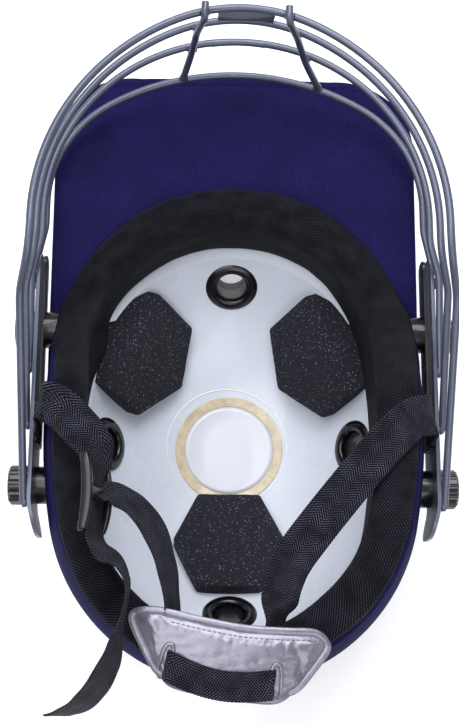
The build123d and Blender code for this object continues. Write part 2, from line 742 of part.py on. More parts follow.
def make_nut(sign, y):
    """Fluted thumb nut with its collar, and the metal insert inside it."""
    collar_x = STRIP_IN_X + STRIP_THICK + RUNNING_GAP
    grip_x = collar_x + NUT_COLLAR_THICK
    plane = Plane(origin=(sign * grip_x, y, SCREW_Z), x_dir=(0, 1, 0), z_dir=(sign, 0, 0))
    grip = extrude(plane * Circle(NUT_R), amount=NUT_THICK)
    grip = chamfer(grip.edges(), NUT_EDGE)
    for flute in PolarLocations(NUT_R + NUT_FLUTE_OUT, NUT_FLUTES):
        grip = grip - extrude(plane * flute * Circle(NUT_FLUTE_R), amount=NUT_THICK)
    collar = side_rod(sign, y, NUT_COLLAR_R, collar_x, grip_x)
    seat = side_rod(sign, y, INSERT_R, collar_x, grip_x + INSERT_DEEP)
    bore = side_rod(sign, y, SCREW_R + SCREW_FIT, collar_x, grip_x + INSERT_DEEP)
    return grip + collar - seat, seat - bore


def strap(stations):
    """Flat webbing drawn straight from section to section, each a centre and a direction across."""
    wide = DOME_HALF_WIDTH / DRAWN_HALF_WIDTH
    long = DOME_HALF_LENGTH / DRAWN_HALF_LENGTH
    lift = WEB_REST_Z - DRAWN_REST_Z
    centres = [Vector(x * wide, y * long, z + lift) for (x, y, z), across in stations]
    faces = []
    for n, (drawn, across) in enumerate(stations):
        along = centres[min(n + 1, len(centres) - 1)] - centres[max(n - 1, 0)]
        along = along.normalized()
        across = Vector(*across).normalized()
        if n == 0:
            along = along - across * along.dot(across)
        across = across - along * across.dot(along)
        plane = Plane(origin=centres[n], x_dir=across, z_dir=along)
        faces.append((plane * Rectangle(WEB_WIDTH, WEB_THICK)).face())
    return loft(faces, ruled=True)


def cup_plane():
    """Plane of the chin cup's mid face: X along the cup, Y across it, Z out of its face."""
    plane = Plane(origin=(CUP_X, CUP_Y, CUP_Z))
    return plane.rotated((CUP_TILT, 0, CUP_TURN))


def cup_section(share, low, high):
    """Section of the cup across its length, at a share of the half length, between two depths."""
    place = share * CUP_LONG / 2
    width = CUP_END_HIGH + (CUP_HIGH - CUP_END_HIGH) * math.sqrt(1 - share**4)
    drop = CUP_END_DROP * share * share
    low = low - drop
    high = high - drop
    edge = CUP_EDGE_SHARE * (high - low)
    half = width / 2
    points = [(-half, low + edge), (-half, high - edge), (half, high - edge), (half, low + edge)]
    local = [(place, y, z) for y, z in points]
    edges = [
        Line(local[0], local[1]),
        ThreePointArc(local[1], (place, 0, high), local[2]),
        Line(local[2], local[3]),
        ThreePointArc(local[3], (place, 0, low), local[0]),
    ]
    return Face(Wire(edges))


CUP_SHARES = (-1, -0.72, -0.35, 0, 0.35, 0.72, 1)


def cup_body(low, high):
    """Bowed and rounded layer of the cup between two depths."""
    return loft([cup_section(share, low, high) for share in CUP_SHARES])


def make_cup():
    """Padded cup, its lining, and the bound edge along its top, with the two webbing slots."""
    pad = cup_body(0, CUP_THICK)
    lining = cup_body(-CUP_LINING, 0) - cup_body(0, CUP_THICK)
    for x in (SLOT_LEFT, SLOT_RIGHT):
        slot = Pos(x, -BAND_DOWN, 0) * Box(SLOT_LONG, BAND_WIDTH + 2 * SLOT_SIDE, OVERRUN)
        pad = pad - slot
        lining = lining - slot
    return pad, lining


def make_cup_binding():
    """Round bead along the cup's top edge."""
    points = []
    for n in range(CUP_BEAD_STEPS + 1):
        share = 2 * n / CUP_BEAD_STEPS - 1
        width = CUP_END_HIGH + (CUP_HIGH - CUP_END_HIGH) * math.sqrt(1 - share**4)
        drop = CUP_END_DROP * share * share
        points.append((share * CUP_LONG / 2, width / 2 + CUP_BEAD_R + CUP_BEAD_GAP, CUP_THICK / 2 - drop))
    path = Spline(*points)
    return sweep(Plane(origin=path @ 0, z_dir=path % 0) * Circle(CUP_BEAD_R), path=path)


def make_band():
    """Webbing across the cup's face, in through its slots and on under it."""
    far = (abs(SLOT_LEFT) + BAND_TAIL) / (CUP_LONG / 2)
    under = -CUP_LINING - CUP_END_DROP * far * far - WEB_THICK / 2 - WEB_LIFT
    over = CUP_THICK + WEB_THICK / 2 + WEB_LIFT
    points = [
        (SLOT_LEFT - BAND_TAIL, under),
        (SLOT_LEFT, under),
        (SLOT_LEFT, over),
        (SLOT_RIGHT, over),
        (SLOT_RIGHT, under),
        (SLOT_RIGHT + BAND_TAIL, under),
    ]
    path = FilletPolyline(*points, radius=BAND_BEND_R)
    plane = Plane(origin=(0, -BAND_DOWN + BAND_WIDTH / 2, 0), x_dir=(1, 0, 0), z_dir=(0, -1, 0))
    return extrude(plane * trace(path, WEB_THICK), amount=BAND_WIDTH)


def buckle_plane():
    """Plane of the slider buckle: X along the strap, Y across it, leaning on its long edge."""
    lean = math.radians(BUCKLE_LEAN)
    along = Vector(0, -1, 0)
    normal = Vector(math.sin(lean), 0, math.cos(lean))
    return Plane(origin=(BUCKLE_X, BUCKLE_Y, BUCKLE_Z), x_dir=along, z_dir=normal)


def make_buckle():
    """Slider buckle: two rails, end bars under the webbing and a middle bar over it."""
    inner = WEB_THICK / 2 + WEB_LIFT
    outer = inner + BUCKLE_BAR_THICK
    half_wide = WEB_WIDTH / 2 + WEB_LIFT
    outline = extrude(RectangleRounded(BUCKLE_LONG, BUCKLE_WIDE, BUCKLE_CORNER_R), amount=outer, both=True)
    window = Box(REACH, 2 * half_wide, 2 * outer + WEB_LIFT)
    rails = outline - window
    end_x = (BUCKLE_LONG - BUCKLE_BAR) / 2
    middle_z = (inner + outer) / 2
    bar = Box(BUCKLE_BAR, BUCKLE_WIDE, BUCKLE_BAR_THICK)
    bars = [Pos(x, 0, -middle_z) * bar for x in (-end_x, end_x)]
    bars.append(Pos(0, 0, middle_z) * bar)
    for piece in bars:
        rails = rails + (piece & outline)
    return buckle_plane() * rails


# Chin strap: centre line and direction across of the flat webbing, drawn by hand on a helmet of these sizes
DRAWN_HALF_WIDTH = 103.5
DRAWN_HALF_LENGTH = 138.0
DRAWN_REST_Z = 155.6
RIGHT_STRAP = (
    ((78.9, -9, 155.6), (0, -1, 0)),
    ((62.0, -33, 153.6), (0.66, -0.75, -0.05)),
    ((42.0, -58, 151.0), (0.78, -0.62, 0)),
    ((28.5, -78, 150.4), (0.88, -0.45, 0)),
    ((21.5, -98, 149.8), (0.97, -0.2, 0)),
    ((20.0, -114, 150.4), (1, 0, 0)),
)
LEFT_STRAP = (
    ((-78.8, -9, 155.6), (0, 1, 0)),
    ((-71.4, -20.5, 158.6), (0.469, 0, -0.883)),
    ((-71.4, -44, 158.6), (0.469, 0, -0.883)),
    ((-71.4, -68, 158.6), (0.469, 0, -0.883)),
)
TAIL_STRAP = (
    ((-71.4, -68.3, 158.6), (0.469, 0, -0.883)),
    ((-71.4, -70, 158.6), (0.469, 0, -0.883)),
    ((-65.5, -76, 159.2), (0.45, 0.35, -0.85)),
    ((-58.0, -84, 160.0), (0.3, 0.3, -0.88)),
    ((-56.0, -94, 161.0), (0.15, 0.1, -0.98)),
    ((-60.5, -107, 161.5), (0.15, -0.1, -0.98)),
    ((-65.0, -122, 159.5), (0.45, -0.1, -0.88)),
    ((-69.5, -136, 153.0), (0.6, 0.25, -0.75)),
    ((-78.0, -147, 143.0), (0.65, 0.3, -0.6)),
    ((-88.0, -152, 131.0), (0.65, 0, -0.5)),
)
LEFT_LOWER_STRAP = (
    ((-60.3, -42, 152.8), (0, -0.35, -0.93)),
    ((-49.5, -48, 151.8), (0.3, 0.1, -0.9)),
    ((-39.5, -62, 150.5), (0.6, 0.2, -0.7)),
    ((-34.0, -82, 150.2), (0.85, 0.1, -0.4)),
    ((-32.5, -98, 149.8), (1, 0, 0)),
    ((-33.0, -112, 150.0), (1, 0, 0)),
)


def write(name, shape):
    """Write one node to its own file."""
    export_step(shape, os.path.join("parts", f"{name}.step"))


def make_helmet():
    """Cloth cover, shell, binding, liner, ring, pads, label, peak and grommets."""
    write("shell_cover", pierced(skin(0, COVER_THICK)))
    write("outer_shell", pierced(skin(COVER_THICK, CAVITY_GAP)))
    band = (dome(0) - dome(CAVITY_GAP)) & above_rim()
    write("rim_binding", band - above_rim(BINDING_HIGH))
    write("inner_liner", make_liner())
    write("headband_ring", make_ring())
    write("crown_pad_left", make_pad(-SIDE_PAD_X, SIDE_PAD_Y, SIDE_PAD_TURN))
    write("crown_pad_right", make_pad(SIDE_PAD_X, SIDE_PAD_Y, -SIDE_PAD_TURN))
    rear_pad = make_pad(0, REAR_PAD_Y, 0)
    write("crown_pad_rear", rear_pad)
    write("liner_label", make_label() - rear_pad)
    for name, plane in vent_planes().items():
        write(f"vent_grommet_{name}", make_grommet(plane))
    board, cover = make_peak()
    write("peak_board", board)
    write("peak_cover", cover)


def make_fixings():
    """Clamp screws, spacers, hanger blades, riveted webbing ends and thumb nuts."""
    write("clamp_screws", Compound([make_screw(sign, y).solid() for name, sign, y in screw_places()]))
    write("side_spacers", Compound([make_spacer(sign, y) for name, sign, y in screw_places()]))
    for side, sign in (("left", -1), ("right", 1)):
        write(f"strap_hanger_{side}", mirrored(make_blade(), sign))
        write(f"strap_anchor_{side}", mirrored(make_anchor(), sign))
        write(f"anchor_rivet_{side}", mirrored(make_rivet(), sign))
    for name, sign, y in screw_places():
        nut, insert = make_nut(sign, y)
        write(f"thumb_nut_{name}", nut)
        write(f"nut_insert_{name}", insert)


def make_face_guard():
    """Four bars, two uprights, two side strips and the bare plate."""
    for name, sizes in bar_sizes().items():
        write(name, make_bar(*sizes))
    write("upright_left", make_upright(UPRIGHT_LEFT_XS))
    write("upright_right", make_upright(UPRIGHT_RIGHT_XS))
    write("front_plate", make_front_plate())
    write("side_strip_left", mirrored(make_strip(), -1))
    write("side_strip_right", make_strip())


def make_chin_strap():
    """Straps, slider buckle and chin cup."""
    write("strap_right", strap(RIGHT_STRAP))
    write("strap_left_upper", strap(LEFT_STRAP))
    write("strap_left_lower", strap(LEFT_LOWER_STRAP))
    write("strap_tail", strap(TAIL_STRAP))
    write("slider_buckle", make_buckle())
    pad, lining = make_cup()
    plane = cup_plane()
    write("chin_cup", plane * pad)
    write("cup_lining", plane * lining)
    write("cup_binding", plane * make_cup_binding())
    write("chin_band", plane * make_band())


make_helmet()
make_fixings()
make_face_guard()
make_chin_strap()
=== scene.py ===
"""Cricket helmet lying on its crown: its pieces, their materials and the stage it stands on."""

import math

import bmesh
import bpy
from mathutils import Matrix, Vector, noise
from mathutils.bvhtree import BVHTree


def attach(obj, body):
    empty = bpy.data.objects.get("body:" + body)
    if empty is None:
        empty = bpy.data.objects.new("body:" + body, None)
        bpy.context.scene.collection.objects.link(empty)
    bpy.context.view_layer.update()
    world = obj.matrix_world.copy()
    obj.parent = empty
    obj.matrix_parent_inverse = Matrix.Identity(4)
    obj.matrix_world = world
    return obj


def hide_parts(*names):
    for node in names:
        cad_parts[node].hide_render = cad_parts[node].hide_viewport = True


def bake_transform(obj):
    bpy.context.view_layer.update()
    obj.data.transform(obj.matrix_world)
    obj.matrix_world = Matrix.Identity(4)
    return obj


bl_info = {
    "name": "Cricket helmet",
    "version": (1, 0, 0),
    "blender": (4, 5, 0),
    "location": "3D View > Sidebar > Helmet",
    "description": "Builds the visible pieces of a cricket helmet over its packed solids",
    "category": "Add Mesh",
}

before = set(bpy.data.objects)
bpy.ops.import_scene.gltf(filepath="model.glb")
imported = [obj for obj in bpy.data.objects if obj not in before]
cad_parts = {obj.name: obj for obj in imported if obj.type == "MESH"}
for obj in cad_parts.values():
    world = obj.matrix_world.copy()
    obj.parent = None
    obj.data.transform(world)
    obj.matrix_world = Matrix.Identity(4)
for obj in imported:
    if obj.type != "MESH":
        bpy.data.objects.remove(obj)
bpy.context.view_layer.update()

MM = 0.001

# Sizes shared with the solids, in millimetres
DOME_HALF_WIDTH = 103.5
DOME_HALF_LENGTH = 138.0
DOME_DEPTH = 112.0
NOSE_SHARE = 0.966
CROWN_FLAT_ANGLE = math.radians(11.5)
WIDEST_Z = DOME_DEPTH * math.cos(CROWN_FLAT_ANGLE)
RIM_LINE = ((-400, 110.8), (-60, 150.05), (22, 150.05), (72, 107.05), (400, 107.05))
LINER_HALF_WIDTH = 89.0
LINER_HALF_LENGTH = 120.0
LINER_DEPTH = 92.0
VENT_Z = 57.0
LABEL_Y = 4.0
RING_FOOT_Z = 75.0
UP = Vector((0, 0, 1))


def linear(code):
    """An sRGB hex colour as linear red, green, blue and a full alpha."""
    shares = [int(code[n : n + 2], 16) / 255 for n in (1, 3, 5)]
    return [s / 12.92 if s <= 0.04045 else ((s + 0.055) / 1.055) ** 2.4 for s in shares] + [1.0]


def colour(label, code):
    """A colour that a user can change."""
    return bpy.props.FloatVectorProperty(
        name=label,
        description=f"Colour of the {label.lower()}",
        default=linear(code),
        size=4,
        min=0,
        max=1,
        subtype="COLOR",
    )


def length(label, description, size):
    """A length that a user can change."""
    return bpy.props.FloatProperty(name=label, description=description, default=size, min=0, unit="LENGTH")


class HelmetColours(bpy.types.PropertyGroup):
    """Colours of the helmet's materials."""

    cloth: colour("Navy cloth", "#141144")
    binding: colour("Rim tape", "#121040")
    liner: colour("Liner", "#DDE3F0")
    knit: colour("Ring knit", "#07070E")
    foam: colour("Pad foam", "#272730")
    label_ring: colour("Label ring", "#E3D3B4")
    label_disc: colour("Label disc", "#DEE0EA")
    plastic: colour("Black plastic", "#0B0A10")
    paint: colour("Guard paint", "#575C6E")
    webbing: colour("Webbing", "#08080F")
    leatherette: colour("Cup cover", "#83818F")


class HelmetSizes(bpy.types.PropertyGroup):
    """Sizes of the helmet's fine detail."""

    # Threads, ribs and cells are somewhat coarser than real ones, so that they show
    cloth_thread: length("Cloth thread", "Thread spacing of the navy cloth", 0.0007)
    knit_rib: length("Knit rib", "Rib spacing of the ring's knit", 0.0017)
    foam_cell: length("Foam cell", "Cell size of the pad foam", 0.00065)
    web_rib: length("Webbing rib", "Rib spacing of the webbing", 0.0017)
    web_width: length("Webbing width", "Width of the chin strap", 0.0212)
    web_thick: length("Webbing thickness", "Thickness of the chin strap", 0.0014)
    stitch: length("Stitch", "Length of one stitch", 0.0026)
    grain: length("Leatherette grain", "Size of the pebbles of the cup's cover", 0.0012)


def add(tree, kind, inputs=None, to=None, **settings):
    """Add one node with its settings, set or link its inputs, and link its first output to a socket."""
    made = tree.nodes.new(kind)
    for key, value in settings.items():
        setattr(made, key, value)
    for key, value in (inputs or {}).items():
        if isinstance(value, bpy.types.NodeSocket):
            tree.links.new(value, made.inputs[key])
        else:
            made.inputs[key].default_value = value
    if to:
        tree.links.new(made.outputs[0], to)
    return made


def begin(name, coordinates="Object", **constants):
    """A new material, its node tree, its shader with the even values set, and the coordinates it uses."""
    made = bpy.data.materials.new(name)
    made.use_nodes = True
    tree = made.node_tree
    tree.nodes.clear()
    shader = add(tree, "ShaderNodeBsdfPrincipled", {key.replace("_", " "): v for key, v in constants.items()})
    add(tree, "ShaderNodeOutputMaterial", {"Surface": shader.outputs[0]})
    return made, tree, shader, add(tree, "ShaderNodeTexCoord").outputs[coordinates]


def surfaced(tree, shader, tint, height, strength, depth, folds=None):
    """Link a shader's colour and its relief, which may lie on wider folds."""
    tree.links.new(tint, shader.inputs["Base Color"])
    relief = {"Height": height, "Strength": strength, "Distance": depth}
    if folds:
        relief["Normal"] = folds
    add(tree, "ShaderNodeBump", relief, shader.inputs["Normal"])


def shade(code, factor):
    """A colour made darker or lighter by a factor."""
    return [min(1.0, part * factor) for part in code[:3]] + [1.0]


def mottled(tree, pattern, low, high, dark, light):
    """A colour that goes from dark to light where a pattern goes from low to high."""
    tone = add(tree, "ShaderNodeMapRange", {0: pattern, 1: low, 2: high})
    return add(tree, "ShaderNodeMix", {0: tone.outputs[0], 6: dark, 7: light}, data_type="RGBA").outputs[2]


def woven_cloth(name, base, thread):
    """Woven polyester cloth in its dye colour: dull, a faint sheen at grazing angles and a fine plain weave,
    with painted shade between the threads and painted highlight on their tops.
    """
    made, tree, shader, spot = begin(
        name, Roughness=0.85, Specular_IOR_Level=0.15, Sheen_Weight=0.06, Sheen_Roughness=0.4
    )
    shader.inputs["Sheen Tint"].default_value = shade(base, 3.0)
    threads = []
    for pull in ((1.0, 0.09, 0.4), (0.09, 1.0, 0.4)):
        scale = [part / thread for part in pull]
        drawn = add(tree, "ShaderNodeVectorMath", {0: spot, 1: scale}, operation="MULTIPLY")
        grain = {"Vector": drawn.outputs[0], "Scale": 1.0, "Detail": 1.0}
        threads.append(add(tree, "ShaderNodeTexNoise", grain))
    weave = add(tree, "ShaderNodeMath", {0: threads[0].outputs[0], 1: threads[1].outputs[0]}, operation="ADD")
    blotch = add(tree, "ShaderNodeTexNoise", {"Vector": spot, "Scale": 28.0, "Detail": 5.0, "Roughness": 0.6})
    wide = mottled(tree, blotch.outputs[0], 0.3, 0.7, shade(base, 0.8), shade(base, 1.22))
    # Painted shade and highlight: the weave's relief also scales the colour, darker between the threads and
    # lighter on their tops. The wide blotches are random tone.
    fine = add(tree, "ShaderNodeMapRange", {0: weave.outputs[0], 1: 0.7, 2: 1.3, 3: 0.72, 4: 1.2})
    blotched_and_weave_shaded = add(tree, "ShaderNodeVectorMath", {0: wide, "Scale": fine.outputs[0]}, operation="SCALE")
    creased = {"Vector": spot, "Scale": 16.0, "Detail": 3.0, "Distortion": 0.6}
    crease = add(tree, "ShaderNodeTexNoise", creased)
    folds = add(tree, "ShaderNodeBump", {"Height": crease.outputs[0], "Strength": 0.25, "Distance": 0.004})
    surfaced(tree, shader, blotched_and_weave_shaded.outputs[0], weave.outputs[0], 0.35, 0.0002, folds.outputs[0])
    return made


def ribbed_weave(name, base, rib, straight, glint):
    """Woven polyester in rows: ribs aslant that turn back after a straight length, dull, with painted glints:
    ridge tops painted lighter in random patches.
    """
    made, tree, shader, spot = begin(
        name, "UV", Roughness=0.62, Specular_IOR_Level=0.12, Sheen_Weight=0.02, Sheen_Roughness=0.4
    )
    parts = add(tree, "ShaderNodeSeparateXYZ", {0: spot})
    turned = add(tree, "ShaderNodeMath", {0: parts.outputs[0], 1: straight}, operation="PINGPONG")
    along = add(tree, "ShaderNodeMath", {0: turned.outputs[0], 1: parts.outputs[1]}, operation="ADD")
    phase = add(tree, "ShaderNodeMath", {0: along.outputs[0], 1: 2 * math.pi / rib}, operation="MULTIPLY")
    ridge = add(tree, "ShaderNodeMath", {0: phase.outputs[0]}, operation="SINE")
    bead_step = 2 * math.pi / (0.75 * rib)
    across = add(tree, "ShaderNodeMath", {0: parts.outputs[0], 1: bead_step}, operation="MULTIPLY")
    bead = add(tree, "ShaderNodeMath", {0: across.outputs[0]}, operation="COSINE")
    beaded = {0: bead.outputs[0], 1: 0.35, 2: ridge.outputs[0]}
    height = add(tree, "ShaderNodeMath", beaded, operation="MULTIPLY_ADD").outputs[0]
    # Painted highlight: the ridge tops are painted towards the lighter glint colour, in random patches.
    glint_patches = add(tree, "ShaderNodeTexNoise", {"Vector": spot, "Scale": 90.0, "Detail": 4.0})
    lift = add(tree, "ShaderNodeMapRange", {0: height, 1: 0.15, 2: 1.2})
    patchy_glint = add(tree, "ShaderNodeMapRange", {0: glint_patches.outputs[0], 1: 0.35, 2: 0.7, 3: 0.25})
    share = add(tree, "ShaderNodeMath", {0: lift.outputs[0], 1: patchy_glint.outputs[0]}, operation="MULTIPLY")
    tint = add(tree, "ShaderNodeMix", {0: share.outputs[0], 6: shade(base, 0.75), 7: glint}, data_type="RGBA")
    surfaced(tree, shader, tint.outputs[2], height, 0.8, 0.0004)
    return made


def open_foam(name, base, cell):
    """Cut polyurethane foam: very dull, pitted by its cells, with painted shade in the pits, painted light on
    the tops between them, and sparse painted highlights: specks where cells catch light.
    """
    made, tree, shader, spot = begin(name, Roughness=0.95, Specular_IOR_Level=0.15, Sheen_Weight=0.05)
    cells = add(tree, "ShaderNodeTexVoronoi", {"Vector": spot, "Scale": 1 / cell})
    grain = {"Vector": spot, "Scale": 1.6 / cell, "Detail": 3.0, "Roughness": 0.7}
    pits = add(tree, "ShaderNodeTexNoise", grain).outputs[0]
    # Painted shade: the colour follows the pits' relief, darker in the pits and lighter on the tops.
    ground = mottled(tree, pits, 0.3, 0.7, shade(base, 0.45), shade(base, 1.5))
    # Painted highlights: a few chosen cells get light specks where they would catch light.
    chance = add(tree, "ShaderNodeSeparateColor", {0: cells.outputs["Color"]})
    chosen = add(tree, "ShaderNodeMath", {0: chance.outputs[0], 1: 0.8}, operation="GREATER_THAN")
    close = add(tree, "ShaderNodeMath", {0: cells.outputs["Distance"], 1: 0.34}, operation="LESS_THAN")
    speck = add(tree, "ShaderNodeMath", {0: chosen.outputs[0], 1: close.outputs[0]}, operation="MULTIPLY")
    glow = add(tree, "ShaderNodeMapRange", {0: chance.outputs[1], 1: 0.3, 3: 0.02, 4: 0.75})
    amount = add(tree, "ShaderNodeMath", {0: speck.outputs[0], 1: glow.outputs[0]}, operation="MULTIPLY")
    lit = {0: amount.outputs[0], 6: ground, 7: linear("#D6D6E2")}
    whole = add(tree, "ShaderNodeMix", lit, data_type="RGBA")
    surfaced(tree, shader, whole.outputs[2], pits, 0.7, 0.0006)
    return made


def moulded_plastic(name, base, roughness, coat, grain):
    """Moulded plastic: smooth, with a slight unevenness of gloss and faint flow marks."""
    made, tree, shader, spot = begin(
        name, IOR=1.49, Specular_IOR_Level=0.5, Coat_Weight=coat, Coat_Roughness=0.08, Coat_IOR=1.5
    )
    drift = add(tree, "ShaderNodeTexNoise", {"Vector": spot, "Scale": 22.0, "Detail": 4.0}).outputs[0]
    flow = {0: drift, 6: shade(base, 0.95), 7: shade(base, 1.04)}
    tint = add(tree, "ShaderNodeMix", flow, data_type="RGBA")
    gloss = {0: drift, 1: 0.3, 2: 0.7, 3: roughness * 0.8, 4: roughness * 1.25}
    add(tree, "ShaderNodeMapRange", gloss, shader.inputs["Roughness"])
    fine = add(tree, "ShaderNodeTexNoise", {"Vector": spot, "Scale": 1 / grain, "Detail": 2.0})
    surfaced(tree, shader, tint.outputs[2], fine.outputs[0], 0.12, grain / 4)
    return made


def sprayed_steel(name, base):
    """Steel wire under satin metallic paint: soft highlights, tiny flakes and a slightly uneven coat."""
    made, tree, shader, spot = begin(name, Metallic=0.55, Coat_Weight=0.35, Coat_Roughness=0.18, Coat_IOR=1.5)
    flake = add(tree, "ShaderNodeTexNoise", {"Vector": spot, "Scale": 1400.0, "Detail": 1.0})
    drift = add(tree, "ShaderNodeTexNoise", {"Vector": spot, "Scale": 40.0, "Detail": 4.0}).outputs[0]
    both = add(tree, "ShaderNodeMath", {0: flake.outputs[0], 1: drift}, operation="ADD")
    tint = mottled(tree, both.outputs[0], 0.7, 1.3, shade(base, 0.82), shade(base, 1.2))
    gloss = {0: drift, 1: 0.3, 2: 0.7, 3: 0.32, 4: 0.46}
    add(tree, "ShaderNodeMapRange", gloss, shader.inputs["Roughness"])
    surfaced(tree, shader, tint, drift, 0.15, 0.0006)
    return made


def bright_metal(name, base, roughness):
    """Bare plated or turned metal: full reflections, blurred a little by fine tool marks."""
    made, tree, shader, spot = begin(name, Metallic=1.0)
    marks = add(tree, "ShaderNodeTexNoise", {"Vector": spot, "Scale": 900.0, "Detail": 3.0}).outputs[0]
    gloss = {0: marks, 1: 0.3, 2: 0.7, 3: roughness * 0.7, 4: roughness * 1.4}
    add(tree, "ShaderNodeMapRange", gloss, shader.inputs["Roughness"])
    tint = add(tree, "ShaderNodeMix", {0: marks, 6: shade(base, 0.9), 7: base}, data_type="RGBA")
    surfaced(tree, shader, tint.outputs[2], marks, 0.1, 0.0001)
    return made


def coated_leatherette(name, base, grain):
    """Polyurethane-coated cloth with a silver sheen: soft wide highlights over a pebbled, creased skin, with
    painted shade in the creases and painted light on their crests.
    """
    made, tree, shader, spot = begin(
        name, Metallic=0.6, Specular_IOR_Level=0.5, Coat_Weight=0.2, Coat_Roughness=0.25
    )
    pebble = add(tree, "ShaderNodeTexVoronoi", {"Vector": spot, "Scale": 1 / grain}, feature="SMOOTH_F1")
    wrinkled = {"Vector": spot, "Scale": 70.0, "Detail": 6.0, "Roughness": 0.62, "Distortion": 1.2}
    crease = add(tree, "ShaderNodeTexNoise", wrinkled).outputs[0]
    # Painted shade: the creases' relief also sets the colour, darker in their troughs and lighter on their
    # crests.
    tint = mottled(tree, crease, 0.35, 0.65, shade(base, 0.78), shade(base, 1.15))
    gloss = {0: crease, 1: 0.3, 2: 0.7, 3: 0.26, 4: 0.42}
    add(tree, "ShaderNodeMapRange", gloss, shader.inputs["Roughness"])
    folds = add(tree, "ShaderNodeBump", {"Height": crease, "Strength": 0.3, "Distance": 0.001}).outputs[0]
    surfaced(tree, shader, tint, pebble.outputs["Distance"], 0.25, 0.0002, folds)
    return made


def printed_film(name, base, mottle, roughness):
    """Printed plastic film: even colour with a slight mottle, and the gloss of the clear layer on top."""
    made, tree, shader, spot = begin(
        name, Coat_Weight=0.6, Coat_Roughness=0.12, Coat_IOR=1.5, Roughness=roughness
    )
    cloudy = {"Vector": spot, "Scale": 140.0, "Detail": 5.0, "Roughness": 0.7}
    patch = add(tree, "ShaderNodeTexNoise", cloudy).outputs[0]
    surfaced(tree, shader, mottled(tree, patch, 0.35, 0.65, base, mottle), patch, 0.08, 0.0004)
    return made


THREAD_THICK = 0.0003
# Along the webbing the ribs turn back every few millimetres. On the knit they run on round the ring.
WEBBING_STRAIGHT = 0.005
KNIT_STRAIGHT = 0.9

finishes = {}


def make_finishes(colours, sizes):
    """Every material of the helmet, by the name that the pieces call it."""
    tape_thread = 0.8 * sizes.cloth_thread
    bright_thread = shade(colours.cloth, 1.5)
    aged_film = shade(colours.label_ring, 0.72)
    finishes.update({
        "cloth": woven_cloth("woven_polyester_navy", colours.cloth, sizes.cloth_thread),
        "binding": woven_cloth("woven_tape_navy", colours.binding, tape_thread),
        # The knit and the webbing get painted glints: a lighter colour painted on the tops of their ridges.
        "knit": ribbed_weave(
            "rib_knit_polyester", colours.knit, sizes.knit_rib, KNIT_STRAIGHT, linear("#40404F")
        ),
        "webbing": ribbed_weave(
            "herringbone_polyester_webbing",
            colours.webbing,
            sizes.web_rib,
            WEBBING_STRAIGHT,
            linear("#66667C"),
        ),
        "thread": woven_cloth("bonded_sewing_thread_navy", bright_thread, THREAD_THICK),
        "foam": open_foam("open_cell_foam_charcoal", colours.foam, sizes.foam_cell),
        "liner": moulded_plastic("gloss_moulded_liner_white", colours.liner, 0.28, 0.4, 0.0016),
        "plastic": moulded_plastic("gloss_moulded_nylon_black", colours.plastic, 0.26, 0.3, 0.0009),
        "shell": moulded_plastic("moulded_abs_black", linear("#17171C"), 0.55, 0.0, 0.0008),
        "paint": sprayed_steel("steel_in_metallic_grey_paint", colours.paint),
        "steel": bright_metal("zinc_plated_steel", linear("#B9BBC0"), 0.3),
        "brass": bright_metal("turned_brass", linear("#C9A65A"), 0.25),
        "leatherette": coated_leatherette("silver_mauve_leatherette", colours.leatherette, sizes.grain),
        "label_ring": printed_film("champagne_printed_film", colours.label_ring, aged_film, 0.35),
        "label_disc": printed_film("white_printed_film", colours.label_disc, colours.label_disc, 0.4),
        "clear": printed_film("clear_film_edge", linear("#EDEFF7"), linear("#E4E7F2"), 0.12),
    })


def skin_mesh(name, rows, closed_rows=False, closed_columns=False, caps=False):
    """Quads over rows of points in millimetres, with a UV map in metres across and along."""
    count, wide = len(rows), len(rows[0])
    middle_row = rows[count // 2]
    along, across = [0.0], [0.0]
    for n in range(count):
        along.append(along[-1] + (rows[(n + 1) % count][wide // 2] - rows[n][wide // 2]).length * MM)
    for n in range(wide):
        across.append(across[-1] + (middle_row[(n + 1) % wide] - middle_row[n]).length * MM)
    faces, spots = [], []
    for r in range(count if closed_rows else count - 1):
        for c in range(wide if closed_columns else wide - 1):
            down, right = (r + 1) % count, (c + 1) % wide
            faces.append((r * wide + c, r * wide + right, down * wide + right, down * wide + c))
            spots += [
                (across[c], along[r]),
                (across[c + 1], along[r]),
                (across[c + 1], along[r + 1]),
                (across[c], along[r + 1]),
            ]
    if caps:
        for row in (range(wide), range((count - 1) * wide, count * wide)):
            faces.append(tuple(row))
            spots += [(0.0, 0.0)] * wide
    mesh = bpy.data.meshes.new(name)
    mesh.from_pydata([point * MM for row in rows for point in row], [], faces)
    layer = mesh.uv_layers.new(name="Fibre")
    layer.data.foreach_set("uv", [value for spot in spots for value in spot])
    turn_outwards(mesh)
    shade_smooth(mesh)
    return mesh


def turn_outwards(mesh, close=False):
    """Turn every face outwards, after closing the open ends where that is asked for."""
    work = bmesh.new()
    work.from_mesh(mesh)
    if close:
        bmesh.ops.holes_fill(work, edges=[edge for edge in work.edges if edge.is_boundary], sides=0)
    bmesh.ops.recalc_face_normals(work, faces=work.faces)
    work.to_mesh(mesh)
    work.free()


def shade_smooth(mesh):
    """Shade every face smooth."""
    mesh.polygons.foreach_set("use_smooth", [True] * len(mesh.polygons))


def ray_tree(mesh):
    """A tree that rays can be cast on."""
    work = bmesh.new()
    work.from_mesh(mesh)
    tree = BVHTree.FromBMesh(work)
    work.free()
    return tree


def piece(name, mesh, finish, body, nodes=()):
    """A visible piece that rides on a body, with its finish and the solids that it stands for."""
    made = bpy.data.objects.new(name, mesh)
    bpy.context.scene.collection.objects.link(made)
    mesh.materials.append(finishes[finish])
    if body:
        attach(made, body)
    if nodes:
        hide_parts(*nodes)
    return made


